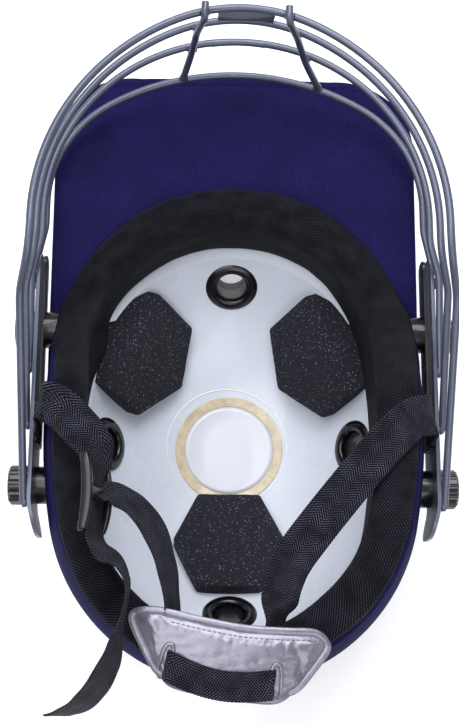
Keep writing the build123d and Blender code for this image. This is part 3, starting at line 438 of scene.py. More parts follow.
def join_meshes(name, meshes):
    """One mesh from several."""
    work = bmesh.new()
    for mesh in meshes:
        work.from_mesh(mesh)
    whole = bpy.data.meshes.new(name)
    work.to_mesh(whole)
    work.free()
    for mesh in meshes:
        bpy.data.meshes.remove(mesh)
    return whole


def run_of(path):
    """Length of a chain of points."""
    return sum((b - a).length for a, b in zip(path, path[1:]))


def curve_through(points, step, closed=False):
    """Points a step apart on a smooth curve through a few given ones."""
    count = len(points)
    whole = points[-1:] + points + points[:2] if closed else points[:1] + points + points[-1:]
    dense = []
    for n in range(count if closed else count - 1):
        a, b, c, d = whole[n : n + 4]
        parts = max(2, int((c - b).length / step * 3))
        for k in range(parts):
            t = k / parts
            dense.append(
                b
                + (c - a) * (0.5 * t)
                + (a * 2 - b * 5 + c * 4 - d) * (0.5 * t * t)
                + (b * 3 - a - c * 3 + d) * (0.5 * t * t * t)
            )
    dense.append(points[0] if closed else points[-1])
    return even_points(dense, step, closed)


def walked(chain, steps):
    """Number of the leg, and share of it, at each of a number of even steps along a chain of points."""
    lengths = [0.0]
    for a, b in zip(chain, chain[1:]):
        lengths.append(lengths[-1] + (b - a).length)
    places, n = [], 0
    for k in range(steps + 1):
        goal = lengths[-1] * k / steps
        while n < len(chain) - 2 and lengths[n + 1] < goal:
            n += 1
        span = lengths[n + 1] - lengths[n]
        places.append((n, (goal - lengths[n]) / span if span else 0.0))
    return places


def even_points(dense, step, closed=False):
    """Points a step apart along a chain of points."""
    count = max(2, round(run_of(dense) / step))
    spots = [dense[n].lerp(dense[n + 1], t) for n, t in walked(dense, count)]
    return spots[:-1] if closed else spots


def heading(path, n, closed=False):
    """Direction of a path at one of its points."""
    if closed:
        return (path[(n + 1) % len(path)] - path[n - 1]).normalized()
    return (path[min(n + 1, len(path) - 1)] - path[max(n - 1, 0)]).normalized()


def swept(name, path, section, ups, closed=False):
    """A closed section drawn along a path. Each section point is a distance sideways and one up."""
    rows = []
    for n, spot in enumerate(path):
        along = heading(path, n, closed)
        up = ups[n] if isinstance(ups, list) else ups
        up = (up - along * up.dot(along)).normalized()
        side = along.cross(up)
        rows.append([spot + side * x + up * y for x, y in section])
    return skin_mesh(name, rows, closed_rows=closed, closed_columns=True, caps=not closed)


def full_turn(count):
    """Even angles round a full turn."""
    return [2 * math.pi * n / count for n in range(count)]


def round_section(radius, count):
    """A round section."""
    return [(radius * math.cos(turn), radius * math.sin(turn)) for turn in full_turn(count)]


STITCH_GAP = 0.35
THREAD_RADIUS = 0.3
THREAD_ARCH = 0.12


def stitch_row(name, path, normals, stitch):
    """A row of short raised threads along a path, each a little sunk at its ends."""
    spots = even_points(path, stitch)
    meshes = []
    for n in range(len(spots) - 1):
        a, b = spots[n], spots[n + 1]
        middle = (a + b) / 2
        nearest = min(range(len(path)), key=lambda k: (path[k] - middle).length_squared)
        up = normals[nearest] if isinstance(normals, list) else normals
        half = (b - a) * (0.5 - STITCH_GAP / 2)
        arch = up * THREAD_ARCH
        thread = curve_through([middle - half - arch, middle + arch, middle + half - arch], stitch / 4)
        meshes.append(swept(f"{name}_{n}", thread, round_section(THREAD_RADIUS, 6), up))
    return join_meshes(name, meshes)


def oval_arcs(half_width, half_length):
    """Arcs of the plan outline: radius of its nose, how far ahead that has its middle, radius of its side."""
    nose = NOSE_SHARE * half_width
    rise = half_length - nose
    return nose, rise, (half_width + nose + rise * rise / (half_width - nose)) / 2


def oval_spot(half_width, half_length, share):
    """Point and outward direction of the helmet's plan outline, a share of the way round from the front."""
    nose, rise, side = oval_arcs(half_width, half_length)
    meet = math.atan2(side - half_width, rise)
    nose_arc, side_arc = nose * meet, side * (math.pi / 2 - meet)
    turns = (share % 1.0) * 4
    quarter = int(turns)
    part = turns - quarter
    if quarter % 2:
        part = 1 - part
    run = part * (nose_arc + side_arc)
    if run < nose_arc:
        turn = run / nose
        x, y = nose * math.sin(turn), rise + nose * math.cos(turn)
    else:
        turn = meet + (run - nose_arc) / side
        x, y = half_width - side + side * math.sin(turn), side * math.cos(turn)
    flip_x = -1 if quarter >= 2 else 1
    flip_y = -1 if quarter in (1, 2) else 1
    out = Vector((flip_x * math.sin(turn), flip_y * math.cos(turn), 0))
    return Vector((flip_x * x, flip_y * y, 0)), out


def level_share(z, depth):
    """How wide a bowl is at a level, as a share of its widest."""
    return math.sqrt(max(0.0, 1 - ((WIDEST_Z - z) / depth) ** 2))


def dome_spot(share, z, gap=0.0):
    """Point of the dome's surface, drawn in by a gap."""
    point, out = oval_spot(DOME_HALF_WIDTH - gap, DOME_HALF_LENGTH - gap, share)
    point = point * level_share(z, DOME_DEPTH - gap)
    point.z = z
    return point


def rim_height(y):
    """Height of the rim line, with its corners eased."""
    total = 0.0
    for shift in range(-8, 9, 2):
        place = y + shift
        for (y0, z0), (y1, z1) in zip(RIM_LINE, RIM_LINE[1:]):
            if y0 <= place <= y1:
                total += z0 + (z1 - z0) * (place - y0) / (y1 - y0)
                break
    return total / 9


def rim_spot(share, gap=0.0, lift=0.0):
    """Point where the dome's surface meets the rim line."""
    z = 130.0
    for _ in range(8):
        z = rim_height(dome_spot(share, z, gap).y) + lift
    return dome_spot(share, z, gap)


def bowl_ratio(x, y, half_width, half_length):
    """Size of the plan outline through a point, as a share of the outline of the given half sizes."""
    nose, rise, side = oval_arcs(half_width, half_length)
    square = x * x + y * y
    a, b = nose * nose - rise * rise, rise * abs(y)
    ratio = (-b + math.sqrt(b * b + a * square)) / a
    meet = math.atan2(side - half_width, rise)
    if abs(y) < ratio * side * math.cos(meet):
        a, b = side * side - (half_width - side) ** 2, (half_width - side) * abs(x)
        ratio = (-b + math.sqrt(b * b + a * square)) / a
    return ratio


def liner_z(x, y):
    """Height of the liner's face under a plan place."""
    ratio = min(0.999, bowl_ratio(x, y, LINER_HALF_WIDTH, LINER_HALF_LENGTH))
    return WIDEST_Z - LINER_DEPTH * math.sqrt(1 - ratio * ratio)


def liner_spot(x, y):
    """Point of the liner's face and the direction into the hollow, as the solids place their pads."""
    share = math.hypot(x / LINER_HALF_WIDTH, y / LINER_HALF_LENGTH)
    drop = LINER_DEPTH * math.sqrt(1 - share * share)
    inward = Vector((-x / LINER_HALF_WIDTH**2, -y / LINER_HALF_LENGTH**2, drop / LINER_DEPTH**2))
    return Vector((x, y, WIDEST_Z - drop)), inward.normalized()


def unevenness(point, scale, seed=0.0):
    """A soft random number from minus one to one that changes over about a scale of millimetres."""
    return noise.noise(Vector((point.x / scale + seed, point.y / scale, point.z / scale)))


AROUND = 420
TAPE_GAP = 2.0
TAPE_SUNK = 0.2
TAPE_FACE = 2.6
TAPE_SEW_DROP = 6.4
TAPE_SECTION = (
    (2.1, -8.6), (2.5, -8.3), (2.55, -6.0), (2.5, -3.0), (2.55, -0.9), (2.1, 0.2), (1.1, 0.8), (0.0, 0.95),
    (-1.1, 0.8), (-2.1, 0.3), (-2.5, -0.9), (-2.4, -3.2), (-2.1, -3.4), (0.0, -1.2), (2.0, -3.0),
)
SEAM_X = 38.0
SEAM_DRAWN_SHARE = 0.28
SEAM_TOP_Z = 134
SEAM_STITCH_X = 2.1
SEAM_STITCH_RISE = 0.32
SEAM_SECTION = (
    (-3.4, -0.3), (-3.1, 0.15), (-1.4, 0.35), (-0.4, 0.12), (0.0, 0.02), (0.4, 0.12), (1.4, 0.35),
    (3.1, 0.15), (3.4, -0.3),
)


class HELMET_OT_shell(bpy.types.Operator):
    """Finish the shell: cloth cover with its seams, rim tape and the shell inside"""

    bl_idname = "helmet.shell"
    bl_label = "Shell"

    def execute(self, context):
        stitch = context.scene.helmet_sizes.stitch / MM
        dress("shell_cover", "cloth")
        dress("outer_shell", "shell")
        self.tape(stitch)
        for side, place in (("left", -SEAM_X), ("right", SEAM_X)):
            self.seam(side, place, stitch)
        return {"FINISHED"}

    def tape(self, stitch):
        """Woven tape folded over the rim, sewn through below its edge."""
        path, ups, sew, outs = [], [], [], []
        for n in range(AROUND):
            share = n / AROUND
            spot = rim_spot(share, TAPE_GAP, -TAPE_SUNK)
            below = dome_spot(share, spot.z - 2.0, TAPE_GAP)
            path.append(spot)
            ups.append((rim_spot(share, TAPE_GAP, 1.0) - below).normalized())
        mesh = swept("rim_tape", path, TAPE_SECTION, ups, closed=True)
        piece("rim_tape", mesh, "binding", "helmet", ["rim_binding"])
        for n in range(AROUND):
            out = heading(path, n, closed=True).cross(ups[n])
            sew.append(path[n] + out * TAPE_FACE - ups[n] * TAPE_SEW_DROP)
            outs.append(out)
        mesh = stitch_row("rim_tape_stitches", sew + sew[:1], outs + outs[:1], stitch)
        piece("rim_tape_stitches", mesh, "thread", "helmet")

    def seam(self, side, place, stitch):
        """Welted seam of the cover, from brow over crown to nape, with a row of stitches each side."""
        dense = []
        for n in range(161):
            turn = math.pi * (n / 160 - 0.5)
            y = DOME_HALF_LENGTH * math.sin(turn)
            x = place * (1 - SEAM_DRAWN_SHARE * math.sin(turn) ** 2)
            ratio = bowl_ratio(x, y, DOME_HALF_WIDTH, DOME_HALF_LENGTH)
            if ratio < 0.9995:
                dense.append(Vector((x, y, WIDEST_Z - DOME_DEPTH * math.sqrt(1 - ratio * ratio))))
        rear = dense[0]
        for z in range(int(rear.z) + 2, SEAM_TOP_Z, 2):
            share = dome_spot(0.5, z).y / -DOME_HALF_LENGTH
            dense.insert(0, Vector((rear.x * share, rear.y * share, z)))
        path = even_points(dense, 3.0)
        ups = []
        for spot in path:
            steep = (spot.z - WIDEST_Z) / DOME_DEPTH**2
            out = Vector((spot.x / DOME_HALF_WIDTH**2, spot.y / DOME_HALF_LENGTH**2, steep))
            ups.append(out.normalized())
        piece(f"cover_seam_{side}", swept("seam", path, SEAM_SECTION, ups), "cloth", "helmet")
        rows = []
        for shift in (-SEAM_STITCH_X, SEAM_STITCH_X):
            line = []
            for n, spot in enumerate(path):
                line.append(spot + heading(path, n).cross(ups[n]) * shift + ups[n] * SEAM_STITCH_RISE)
            rows.append(stitch_row("seam_row", line, ups, stitch))
        piece(f"cover_stitches_{side}", join_meshes("rows", rows), "thread", "helmet")


def dress(node, finish):
    """Give a solid that stays in view its finish."""
    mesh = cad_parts[node].data
    mesh.materials.clear()
    mesh.materials.append(finishes[finish])


PEAK_HALF = 103.5
PEAK_LOW_Z = 98.0
PEAK_ARCH = 11.0
PEAK_THICK = 4.4
PEAK_ROOT_Y = 18.0
PEAK_TILT = math.radians(2.5)
PEAK_CORNER = Vector((57.5, 164.6, 0))
PEAK_CORNER_RADIUS = 46.0
PEAK_CORNER_TURN = math.radians(93.3)
PEAK_FRONT_Y = 213.9
PEAK_FRONT_FALL = 6.0
# The middle of the front edge is slightly rounded
PEAK_MIDDLE_X = 23.2
PEAK_MIDDLE_Y = 213.23
PEAK_MIDDLE_BOW = 800.0
PEAK_ROOT_SHARE = 0.225
# The rounded edge: inset and drop. Behind it the insets and dips of the sewn channel
PEAK_EDGE = ((2.2, 0.0), (1.25, 0.16), (0.62, 0.55), (0.16, 1.25), (0.0, 2.2))
PEAK_CHANNEL = ((3.4, 0.0), (4.5, 0.1), (5.0, 0.45), (5.5, 0.1), (6.6, 0.0), (9.0, 0.0))
PEAK_SEW_INSET = 5.0
PEAK_FLAT_INSET = 9.0
PEAK_DOME_GAP = 0.6
PEAK_WAVE_LENGTH = 26.0


def peak_spot(x, y, high):
    """Point of the arched and tilted peak, a height over its lower face."""
    radius = (PEAK_HALF**2 + PEAK_ARCH**2) / (2 * PEAK_ARCH)
    z = radius - math.sqrt((radius - high) ** 2 - x * x)
    ahead = y - DOME_HALF_LENGTH
    tilted_y = DOME_HALF_LENGTH + ahead * math.cos(PEAK_TILT) - z * math.sin(PEAK_TILT)
    return Vector((x, tilted_y, PEAK_LOW_Z + z * math.cos(PEAK_TILT) + ahead * math.sin(PEAK_TILT)))


def peak_outline():
    """Plan of the peak's edge from its right root round the front to its left root."""
    half = [Vector((PEAK_HALF, PEAK_ROOT_Y, 0)), Vector((PEAK_HALF, PEAK_CORNER.y, 0))]
    for n in range(1, 25):
        turn = PEAK_CORNER_TURN * n / 24
        half.append(PEAK_CORNER + Vector((math.cos(turn), math.sin(turn), 0)) * PEAK_CORNER_RADIUS)
    corner_end = half[-1].x
    for n in range(1, 17):
        x = corner_end * (1 - n / 16)
        y = PEAK_FRONT_Y - PEAK_FRONT_FALL * x / PEAK_HALF
        if x <= PEAK_MIDDLE_X:
            y = PEAK_MIDDLE_Y - x * x / PEAK_MIDDLE_BOW
        half.append(Vector((x, y, 0)))
    left = [Vector((-p.x, p.y, 0)) for p in reversed(half[:-1])]
    return even_points(half + left, 2.4)


class HELMET_OT_peak(bpy.types.Operator):
    """Make the peak: cloth stretched over its board, rounded edge and a row of stitches round it"""

    bl_idname = "helmet.peak"
    bl_label = "Peak"

    def execute(self, context):
        outline = peak_outline()
        rows, sew = [], []
        for n, outer in enumerate(outline):
            share = PEAK_ROOT_SHARE * (1 - 2 * n / (len(outline) - 1))
            inner, _ = oval_spot(DOME_HALF_WIDTH - PEAK_DOME_GAP, DOME_HALF_LENGTH - PEAK_DOME_GAP, share)
            reach = max((inner - outer).length, 0.6)
            inward = (inner - outer) / reach
            fit = min(1.0, reach / 12.0)
            steps = [(inset * fit, PEAK_THICK - drop, 0.0) for inset, drop in reversed(PEAK_EDGE)]
            steps += [(inset * fit, PEAK_THICK - dip * fit, 0.12) for inset, dip in PEAK_CHANNEL]
            flat = PEAK_FLAT_INSET * fit
            steps += [(flat + (reach - flat) * k / 12, PEAK_THICK, 0.3) for k in range(1, 13)]
            under = [(inset, PEAK_THICK - high, wave) for inset, high, wave in steps[1:]]
            row = []
            for inset, high, wave in list(reversed(under)) + steps:
                plan = outer + inward * min(inset, reach)
                spot = peak_spot(plan.x, plan.y, high)
                spot.z += wave * unevenness(plan, PEAK_WAVE_LENGTH) * fit
                row.append(spot)
            rows.append(row)
            if reach > PEAK_FLAT_INSET:
                plan = outer + inward * PEAK_SEW_INSET
                sew.append(peak_spot(plan.x, plan.y, PEAK_THICK - 0.2))
        mesh = skin_mesh("peak_cloth", rows, closed_columns=True, caps=True)
        piece("peak_cloth", mesh, "cloth", "helmet", ["peak_cover"])
        row = stitch_row("peak_stitches", sew, UP, context.scene.helmet_sizes.stitch / MM)
        piece("peak_stitches", row, "thread", "helmet")
        dress("peak_board", "shell")
        return {"FINISHED"}


def vent_spots():
    """Name, point on the liner and direction inwards of each vent."""
    drop = WIDEST_Z - VENT_Z
    share = math.sqrt(1 - (drop / LINER_DEPTH) ** 2)
    places = []
    for name, x, y in (("front", 0, 1), ("rear", 0, -1), ("left", -1, 0), ("right", 1, 0)):
        point, inward = liner_spot(x * share * LINER_HALF_WIDTH, y * share * LINER_HALF_LENGTH)
        places.append((name, point, inward))
    return places


LABEL_RADIUS = 33.0
LABEL_DISC_RADIUS = 27.2
FILM_RADIUS = 36.8
FILM_MIDDLE = (-1.2, LABEL_Y + 0.8)
FILM_SECTION = ((-0.45, 0.0), (-0.3, 0.12), (0.3, 0.12), (0.45, 0.0))
SLEEVE_LONGEST = 60
SLEEVE_OUT = 0.8
# Radius and height of the grommet's skin, from the sleeve's mouth over the flange to behind it
GROMMET_FRONT = (
    (9.0, -8.0), (9.05, -2.0), (9.3, 1.2), (9.9, 2.2), (10.9, 2.65), (12.4, 2.7), (13.9, 2.45), (15.2, 1.9),
    (15.9, 1.1), (16.1, 0.3), (16.0, -1.2), (10.7, -1.4), (10.6, -8.0),
)


class HELMET_OT_liner(bpy.types.Operator):
    """Finish the liner and make what sits on it: label and vent grommets"""

    bl_idname = "helmet.liner"
    bl_label = "Liner, label and grommets"

    def execute(self, context):
        dress("inner_liner", "liner")
        self.floor = ray_tree(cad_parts["inner_liner"].data)
        self.label()
        for name, point, inward in vent_spots():
            self.grommet(name, point, inward)
        return {"FINISHED"}

    def floor_z(self, x, y):
        """Height of the liner's floor, as its solid has it, at a plan place."""
        hit, _, _, _ = self.floor.ray_cast(Vector((x, y, 100)) * MM, -UP)
        return max(hit.z / MM, liner_z(x, y)) if hit else liner_z(x, y)

    def disc(self, name, inner, outer, lift, finish, nodes=()):
        """A flat ring of film that follows the liner's floor."""
        steps = [(inner, 0.0)] if inner else [(0.01, lift)]
        radii = [inner + (outer - inner) * n / 10 for n in range(11)]
        steps += [(r, lift) for r in radii if r > 0.01] + [(outer, 0.0)]
        rows = []
        for radius, high in steps:
            row = []
            for turn in full_turn(96):
                x, y = radius * math.sin(turn), LABEL_Y + radius * math.cos(turn)
                row.append(Vector((x, y, self.floor_z(x, y) + 0.05 + high)))
            rows.append(row)
        mesh = skin_mesh(name, rows, closed_columns=True)
        return piece(name, mesh, finish, "helmet", nodes)

    def label(self):
        """Round label: champagne rim, bare white middle, and the edge of the clear film over it."""
        self.disc("label_middle", 0, LABEL_DISC_RADIUS, 0.3, "label_disc", ["liner_label"])
        self.disc("label_rim", LABEL_DISC_RADIUS, LABEL_RADIUS, 0.36, "label_ring")
        path = []
        for turn in full_turn(120):
            x = FILM_MIDDLE[0] + FILM_RADIUS * math.sin(turn)
            y = FILM_MIDDLE[1] + FILM_RADIUS * math.cos(turn)
            path.append(Vector((x, y, self.floor_z(x, y) + 0.12)))
        mesh = swept("label_film_edge", path, FILM_SECTION, UP, closed=True)
        piece("label_film_edge", mesh, "clear", "helmet")

    def grommet(self, name, point, inward):
        """Flanged black sleeve turned about the vent's own line."""
        reach = 0.0
        while reach < SLEEVE_LONGEST:
            spot = point - inward * reach
            if spot.z < WIDEST_Z - DOME_DEPTH + 1:
                break
            ratio = bowl_ratio(spot.x, spot.y, DOME_HALF_WIDTH, DOME_HALF_LENGTH)
            if ratio >= level_share(spot.z, DOME_DEPTH):
                break
            reach += 0.25
        back = -reach - SLEEVE_OUT
        inner, outer = GROMMET_FRONT[0][0], GROMMET_FRONT[-1][0]
        profile = ((inner, back), *GROMMET_FRONT, (outer, back + 0.4), (outer - 0.4, back))
        across = UP.cross(inward).normalized()
        other = inward.cross(across)
        rows = []
        for turn in full_turn(72):
            out = across * math.cos(turn) + other * math.sin(turn)
            rows.append([point + out * radius + inward * high for radius, high in profile])
        mesh = skin_mesh(f"grommet_{name}", rows, closed_rows=True, closed_columns=True)
        piece(f"grommet_{name}", mesh, "plastic", "helmet", [f"vent_grommet_{name}"])


RING_HALF_WIDTH = 97.5
RING_HALF_LENGTH = 132.0
RING_DEPTH = 106.0
RING_LOW_Z = RING_FOOT_Z + 0.2
# How far the ring reaches out over the rim, and how much further at the front and at the left nape
RIM_REACH = 6.3
FRONT_REACH = 2.3
NAPE_REACH = 2.4
# How much thicker it is at the right, and how far its foot is squeezed out beside the left pad
RIGHT_FULLER = 4.0
FOOT_SQUEEZED = 4.6
SQUEEZED_Y = 56.0
SQUEEZED_LENGTH = 15.0
# Where its front part begins and over what length it comes on, and how fast each side does
FRONT_Y = 75.0
FRONT_LENGTH = 40.0
SIDE_EASE = 1.6
# Height and length of its fine and wide wrinkles, with the seed of each
WRINKLES = ((0.28, 9.0, 3.0), (0.45, 30.0, 7.0))


def clipped(value):
    """A value held between nought and one."""
    return max(0.0, min(1.0, value))


class HELMET_OT_ring(bpy.types.Operator):
    """Make the headband ring: a foam roll in a knitted sleeve, all the way round inside the rim"""

    bl_idname = "helmet.ring"
    bl_label = "Headband ring"

    def execute(self, context):
        count = 400
        rows = []
        for n in range(count):
            spot, out = oval_spot(RING_HALF_WIDTH, RING_HALF_LENGTH, n / count)
            reach = spot.dot(out)
            low, rim = RING_LOW_Z, rim_height(spot.y * 0.96)
            middle = (low + rim) / 2
            right, left = clipped(out.x * SIDE_EASE), clipped(-out.x * SIDE_EASE)
            front = clipped((spot.y - FRONT_Y) / FRONT_LENGTH)
            nape = clipped(-out.y * SIDE_EASE) * clipped(0.4 - SIDE_EASE * out.x)
            over = RIM_REACH + FRONT_REACH * front + NAPE_REACH * nape
            fuller = RIGHT_FULLER * right * (1 - front)
            squeezed = FOOT_SQUEEZED * math.exp(-((spot.y - SQUEEZED_Y) / SQUEEZED_LENGTH) ** 2) * left

            def place(inset, z):
                fall = reach * (level_share(z, RING_DEPTH) - 1)
                level = spot + out * (fall - inset)
                level.z = z
                return level

            insets = (
                (0.0, low + 3), (-0.4, middle), (0.4, rim - 4), (-0.4, rim + 1.3),
                (-over + 0.8, rim + 1.5), (-over, rim + 2.8), (-over + 1.6, rim + 4.4), (2.0, rim + 5.0),
                (7.6 + 0.6 * fuller, rim + 4.2), (12.4 + fuller, rim + 0.6), (14.0 + fuller, rim - 7),
                (12.6 + fuller, middle),
                (9.8 + fuller + squeezed, low + 3), (7.4 + 0.7 * fuller + squeezed, low), (2.6, low),
            )
            line = curve_through([place(inset, z) for inset, z in insets], 2.0, closed=True)
            row = resample_closed(line, 92)
            for k, point in enumerate(row):
                push = sum(high * unevenness(point, scale, seed) for high, scale, seed in WRINKLES)
                core = place(7.0, min(max(point.z, low + 4), rim - 4))
                row[k] = point + (point - core).normalized() * push
            rows.append(row)
        mesh = skin_mesh("knit_ring", rows, closed_rows=True, closed_columns=True)
        made = piece("knit_ring", mesh, "knit", "helmet", ["headband_ring"])
        return {"FINISHED"}


def resample_closed(line, count):
    """A closed chain of points divided into a given number of equal steps."""
    ring = line + line[:1]
    return even_points(ring, run_of(ring) / count, closed=True)[:count]


PAD_THICK = 13.0
PAD_TOP_Z = RING_FOOT_Z - 1.2
# What is left of a rise above that level, and the height and length of the face's waves
PAD_SQUEEZED = 0.02
PAD_WAVES = ((0.3, 2.2), (0.35, 14.0))
SIDE_PAD_X, SIDE_PAD_Y, REAR_PAD_Y = 57.0, 54.0, -58.0
SIDE_PAD_RADIUS = 37.5
SIDE_PAD_TURN = 8.0
SIDE_PAD_SHIFT = (2.0, 4.0)
REAR_PAD = ((-19, 31.5), (19, 31.5), (33.5, 0), (19, -31.5), (-19, -31.5), (-33.5, 0))
# Size of the outline and height, as shares, up the side and round the softened upper edge
PAD_SIDE_SHARES = (
    (1.0, -1.0), (1.0, 0.12), (0.996, 0.4), (0.994, 0.7), (0.992, 0.88), (0.985, 0.95), (0.968, 0.992),
    (0.94, 1.006),
)


def in_liner(spot, slack=0.0):
    """Whether a point lies inside the liner's hollow. The slack is a share of its size."""
    level = level_share(spot.z, LINER_DEPTH) - slack
    return bowl_ratio(spot.x, spot.y, LINER_HALF_WIDTH, LINER_HALF_LENGTH) < level


class HELMET_OT_pads(bpy.types.Operator):
    """Make the three six-sided foam pads on the liner"""

    bl_idname = "helmet.pads"
    bl_label = "Foam pads"

    def execute(self, context):
        across, ahead = SIDE_PAD_SHIFT
        for name, side in (("left", -1), ("right", 1)):
            corners = []
            for n in range(6):
                turn = math.radians(60 * n)
                x, y = SIDE_PAD_RADIUS * math.sin(turn), SIDE_PAD_RADIUS * math.cos(turn)
                corners.append((x + side * across, y + ahead))
            self.pad(name, side * SIDE_PAD_X, SIDE_PAD_Y, -side * SIDE_PAD_TURN, corners)
        self.pad("rear", 0.0, REAR_PAD_Y, 0.0, REAR_PAD)
        return {"FINISHED"}

    def pad(self, name, x, y, turn, corners):
        """Cut foam: crisp sides, softly rounded upper edge, a slightly uneven face."""
        point, inward = liner_spot(x, y)
        forward = Vector((0, 1, 0)) - inward * inward.y
        across = forward.cross(inward).normalized()
        across.rotate(Matrix.Rotation(math.radians(turn), 3, inward))
        other = inward.cross(across)
        rows = []
        outline = self.fitted(point, inward, across, other, corners)
        shares = [(0.94 * (1 - n / 14), 1.01 + 0.02 * math.sin(math.pi * n / 28)) for n in range(1, 14)]
        for size, high in (*PAD_SIDE_SHARES, *shares, (0.004, 1.03)):
            row = []
            for u, v in outline:
                flat = point + across * (u * size) + other * (v * size)
                if high < 0:
                    spot = self.seat(flat, inward)
                else:
                    spot = flat + inward * (PAD_THICK * high)
                    fine, wide = (inward * (rise * unevenness(spot, scale)) for rise, scale in PAD_WAVES)
                    spot += fine + wide
                # Under the ring the face is squeezed flat
                if spot.z > PAD_TOP_Z:
                    spot.z = PAD_TOP_Z + PAD_SQUEEZED * (spot.z - PAD_TOP_Z)
                row.append(spot)
            rows.append(row)
        mesh = skin_mesh(f"foam_pad_{name}", rows, closed_columns=True, caps=True)
        made = piece(f"foam_pad_{name}", mesh, "foam", "helmet", [f"crown_pad_{name}"])

    def fitted(self, point, inward, across, other, corners):
        """The pad's outline, drawn in where its squeezed face would run into the liner."""
        outline, held = [], []
        for (ax, ay), (bx, by) in zip(corners, corners[1:] + corners[:1]):
            for n in range(20):
                t = 0.03 + 0.94 * n / 19
                u, v = ax + (bx - ax) * t, ay + (by - ay) * t
                kept = 1.0
                while kept > 0.3:
                    spot = point + across * (u * kept) + other * (v * kept) + inward * PAD_THICK
                    spot.z = min(spot.z, PAD_TOP_Z)
                    if in_liner(spot, 0.004):
                        break
                    kept -= 0.01
                outline.append((u, v))
                held.append(kept)
        count = len(held)
        even = [min(held[(n + k) % count] for k in range(-3, 4)) for n in range(count)]
        for n, (u, v) in enumerate(outline):
            kept = sum(even[(n + k) % count] for k in range(-4, 5)) / 9
            outline[n] = (u * kept, v * kept)
        return outline

    def seat(self, flat, inward):
        """Where a line along the pad's sides meets the liner."""
        low, high = -30.0, PAD_THICK
        for _ in range(24):
            middle = (low + high) / 2
            if in_liner(flat + inward * middle):
                high = middle
            else:
                low = middle
        return flat + inward * (high - 0.1)


# Height of each bar, how far forward it reaches, radius of its nose, and where its ends meet the side strips
BARS = {
    "chin": (210.05, 200.0, 82.0, -46.0),
    "lower": (179.05, 210.0, 85.0, -5.0),
    "middle": (147.05, 214.0, 98.0, 26.0),
    "brow": (123.05, 205.5, 140.0, 76.0),
}
# Where the two uprights meet each bar, and how far back and up the bead lies from the bar's middle
UPRIGHT_PLACES = ((-19.0, 24.0), (-23.0, 31.0), (-26.0, 38.0), (-30.5, 47.0))
BEAD_OFF = ((-1.4, 1.6), (-2.0, 0.0), (-2.0, 0.0), (0.0, 2.2))
CROSSING_BEAD = (2.9, 2.1, 2.6)
LEG_BEAD = (2.2, 3.2, 2.5)
LEG_X = 110.0
LEG_Z = 136.05


def bead_mesh(name, spot, radii, seed):
    """A small lump of weld metal: rippled, and no two alike."""
    work = bmesh.new()
    bmesh.ops.create_icosphere(work, subdivisions=3, radius=1.0)
    for vertex in work.verts:
        lump = noise.noise(vertex.co * 1.7 + Vector((seed, 0, 0)))
        ripple = 1 + 0.1 * math.sin(9 * vertex.co.x + seed) + 0.12 * lump
        shape = Vector([part * radius for part, radius in zip(vertex.co, radii)]) * ripple
        vertex.co = (spot + shape) * MM
    mesh = bpy.data.meshes.new(name)
    work.to_mesh(mesh)
    work.free()
    shade_smooth(mesh)
    return mesh


class HELMET_OT_guard(bpy.types.Operator):
    """Finish the face guard: painted wire and strips, with weld beads where the wires cross and end"""

    bl_idname = "helmet.guard"
    bl_label = "Face guard"

    def execute(self, context):
        nodes = ["front_plate", "side_strip_left", "side_strip_right", "upright_left", "upright_right"]
        for node in nodes + [f"{bar}_bar" for bar in BARS]:
            dress(node, "paint")
        beads = []
        for (z, apex, nose, _), places, (back, rise) in zip(BARS.values(), UPRIGHT_PLACES, BEAD_OFF):
            for x in places:
                y = apex - nose + math.sqrt(nose * nose - x * x)
                beads.append(bead_mesh("bead", Vector((x, y + back, z + rise)), CROSSING_BEAD, x))
        for _, _, _, end in BARS.values():
            for x in (0.5 - LEG_X, LEG_X - 0.5):
                beads.append(bead_mesh("bead", Vector((x, end + 1.0, LEG_Z)), LEG_BEAD, end))
        piece("weld_beads", join_meshes("weld_beads", beads), "paint", "face_guard")
        return {"FINISHED"}


class HELMET_OT_fixings(bpy.types.Operator):
    """Finish what holds the guard and the strap: screws, spacers, thumb nuts, hangers and rivets"""

    bl_idname = "helmet.fixings"
    bl_label = "Fixings"

    def execute(self, context):
        dress("clamp_screws", "steel")
        dress("side_spacers", "plastic")
        for side in ("left", "right"):
            dress(f"strap_hanger_{side}", "plastic")
            dress(f"anchor_rivet_{side}", "steel")
            for end in ("front", "rear"):
                dress(f"thumb_nut_{side}_{end}", "plastic")
                dress(f"nut_insert_{side}_{end}", "brass")
        return {"FINISHED"}


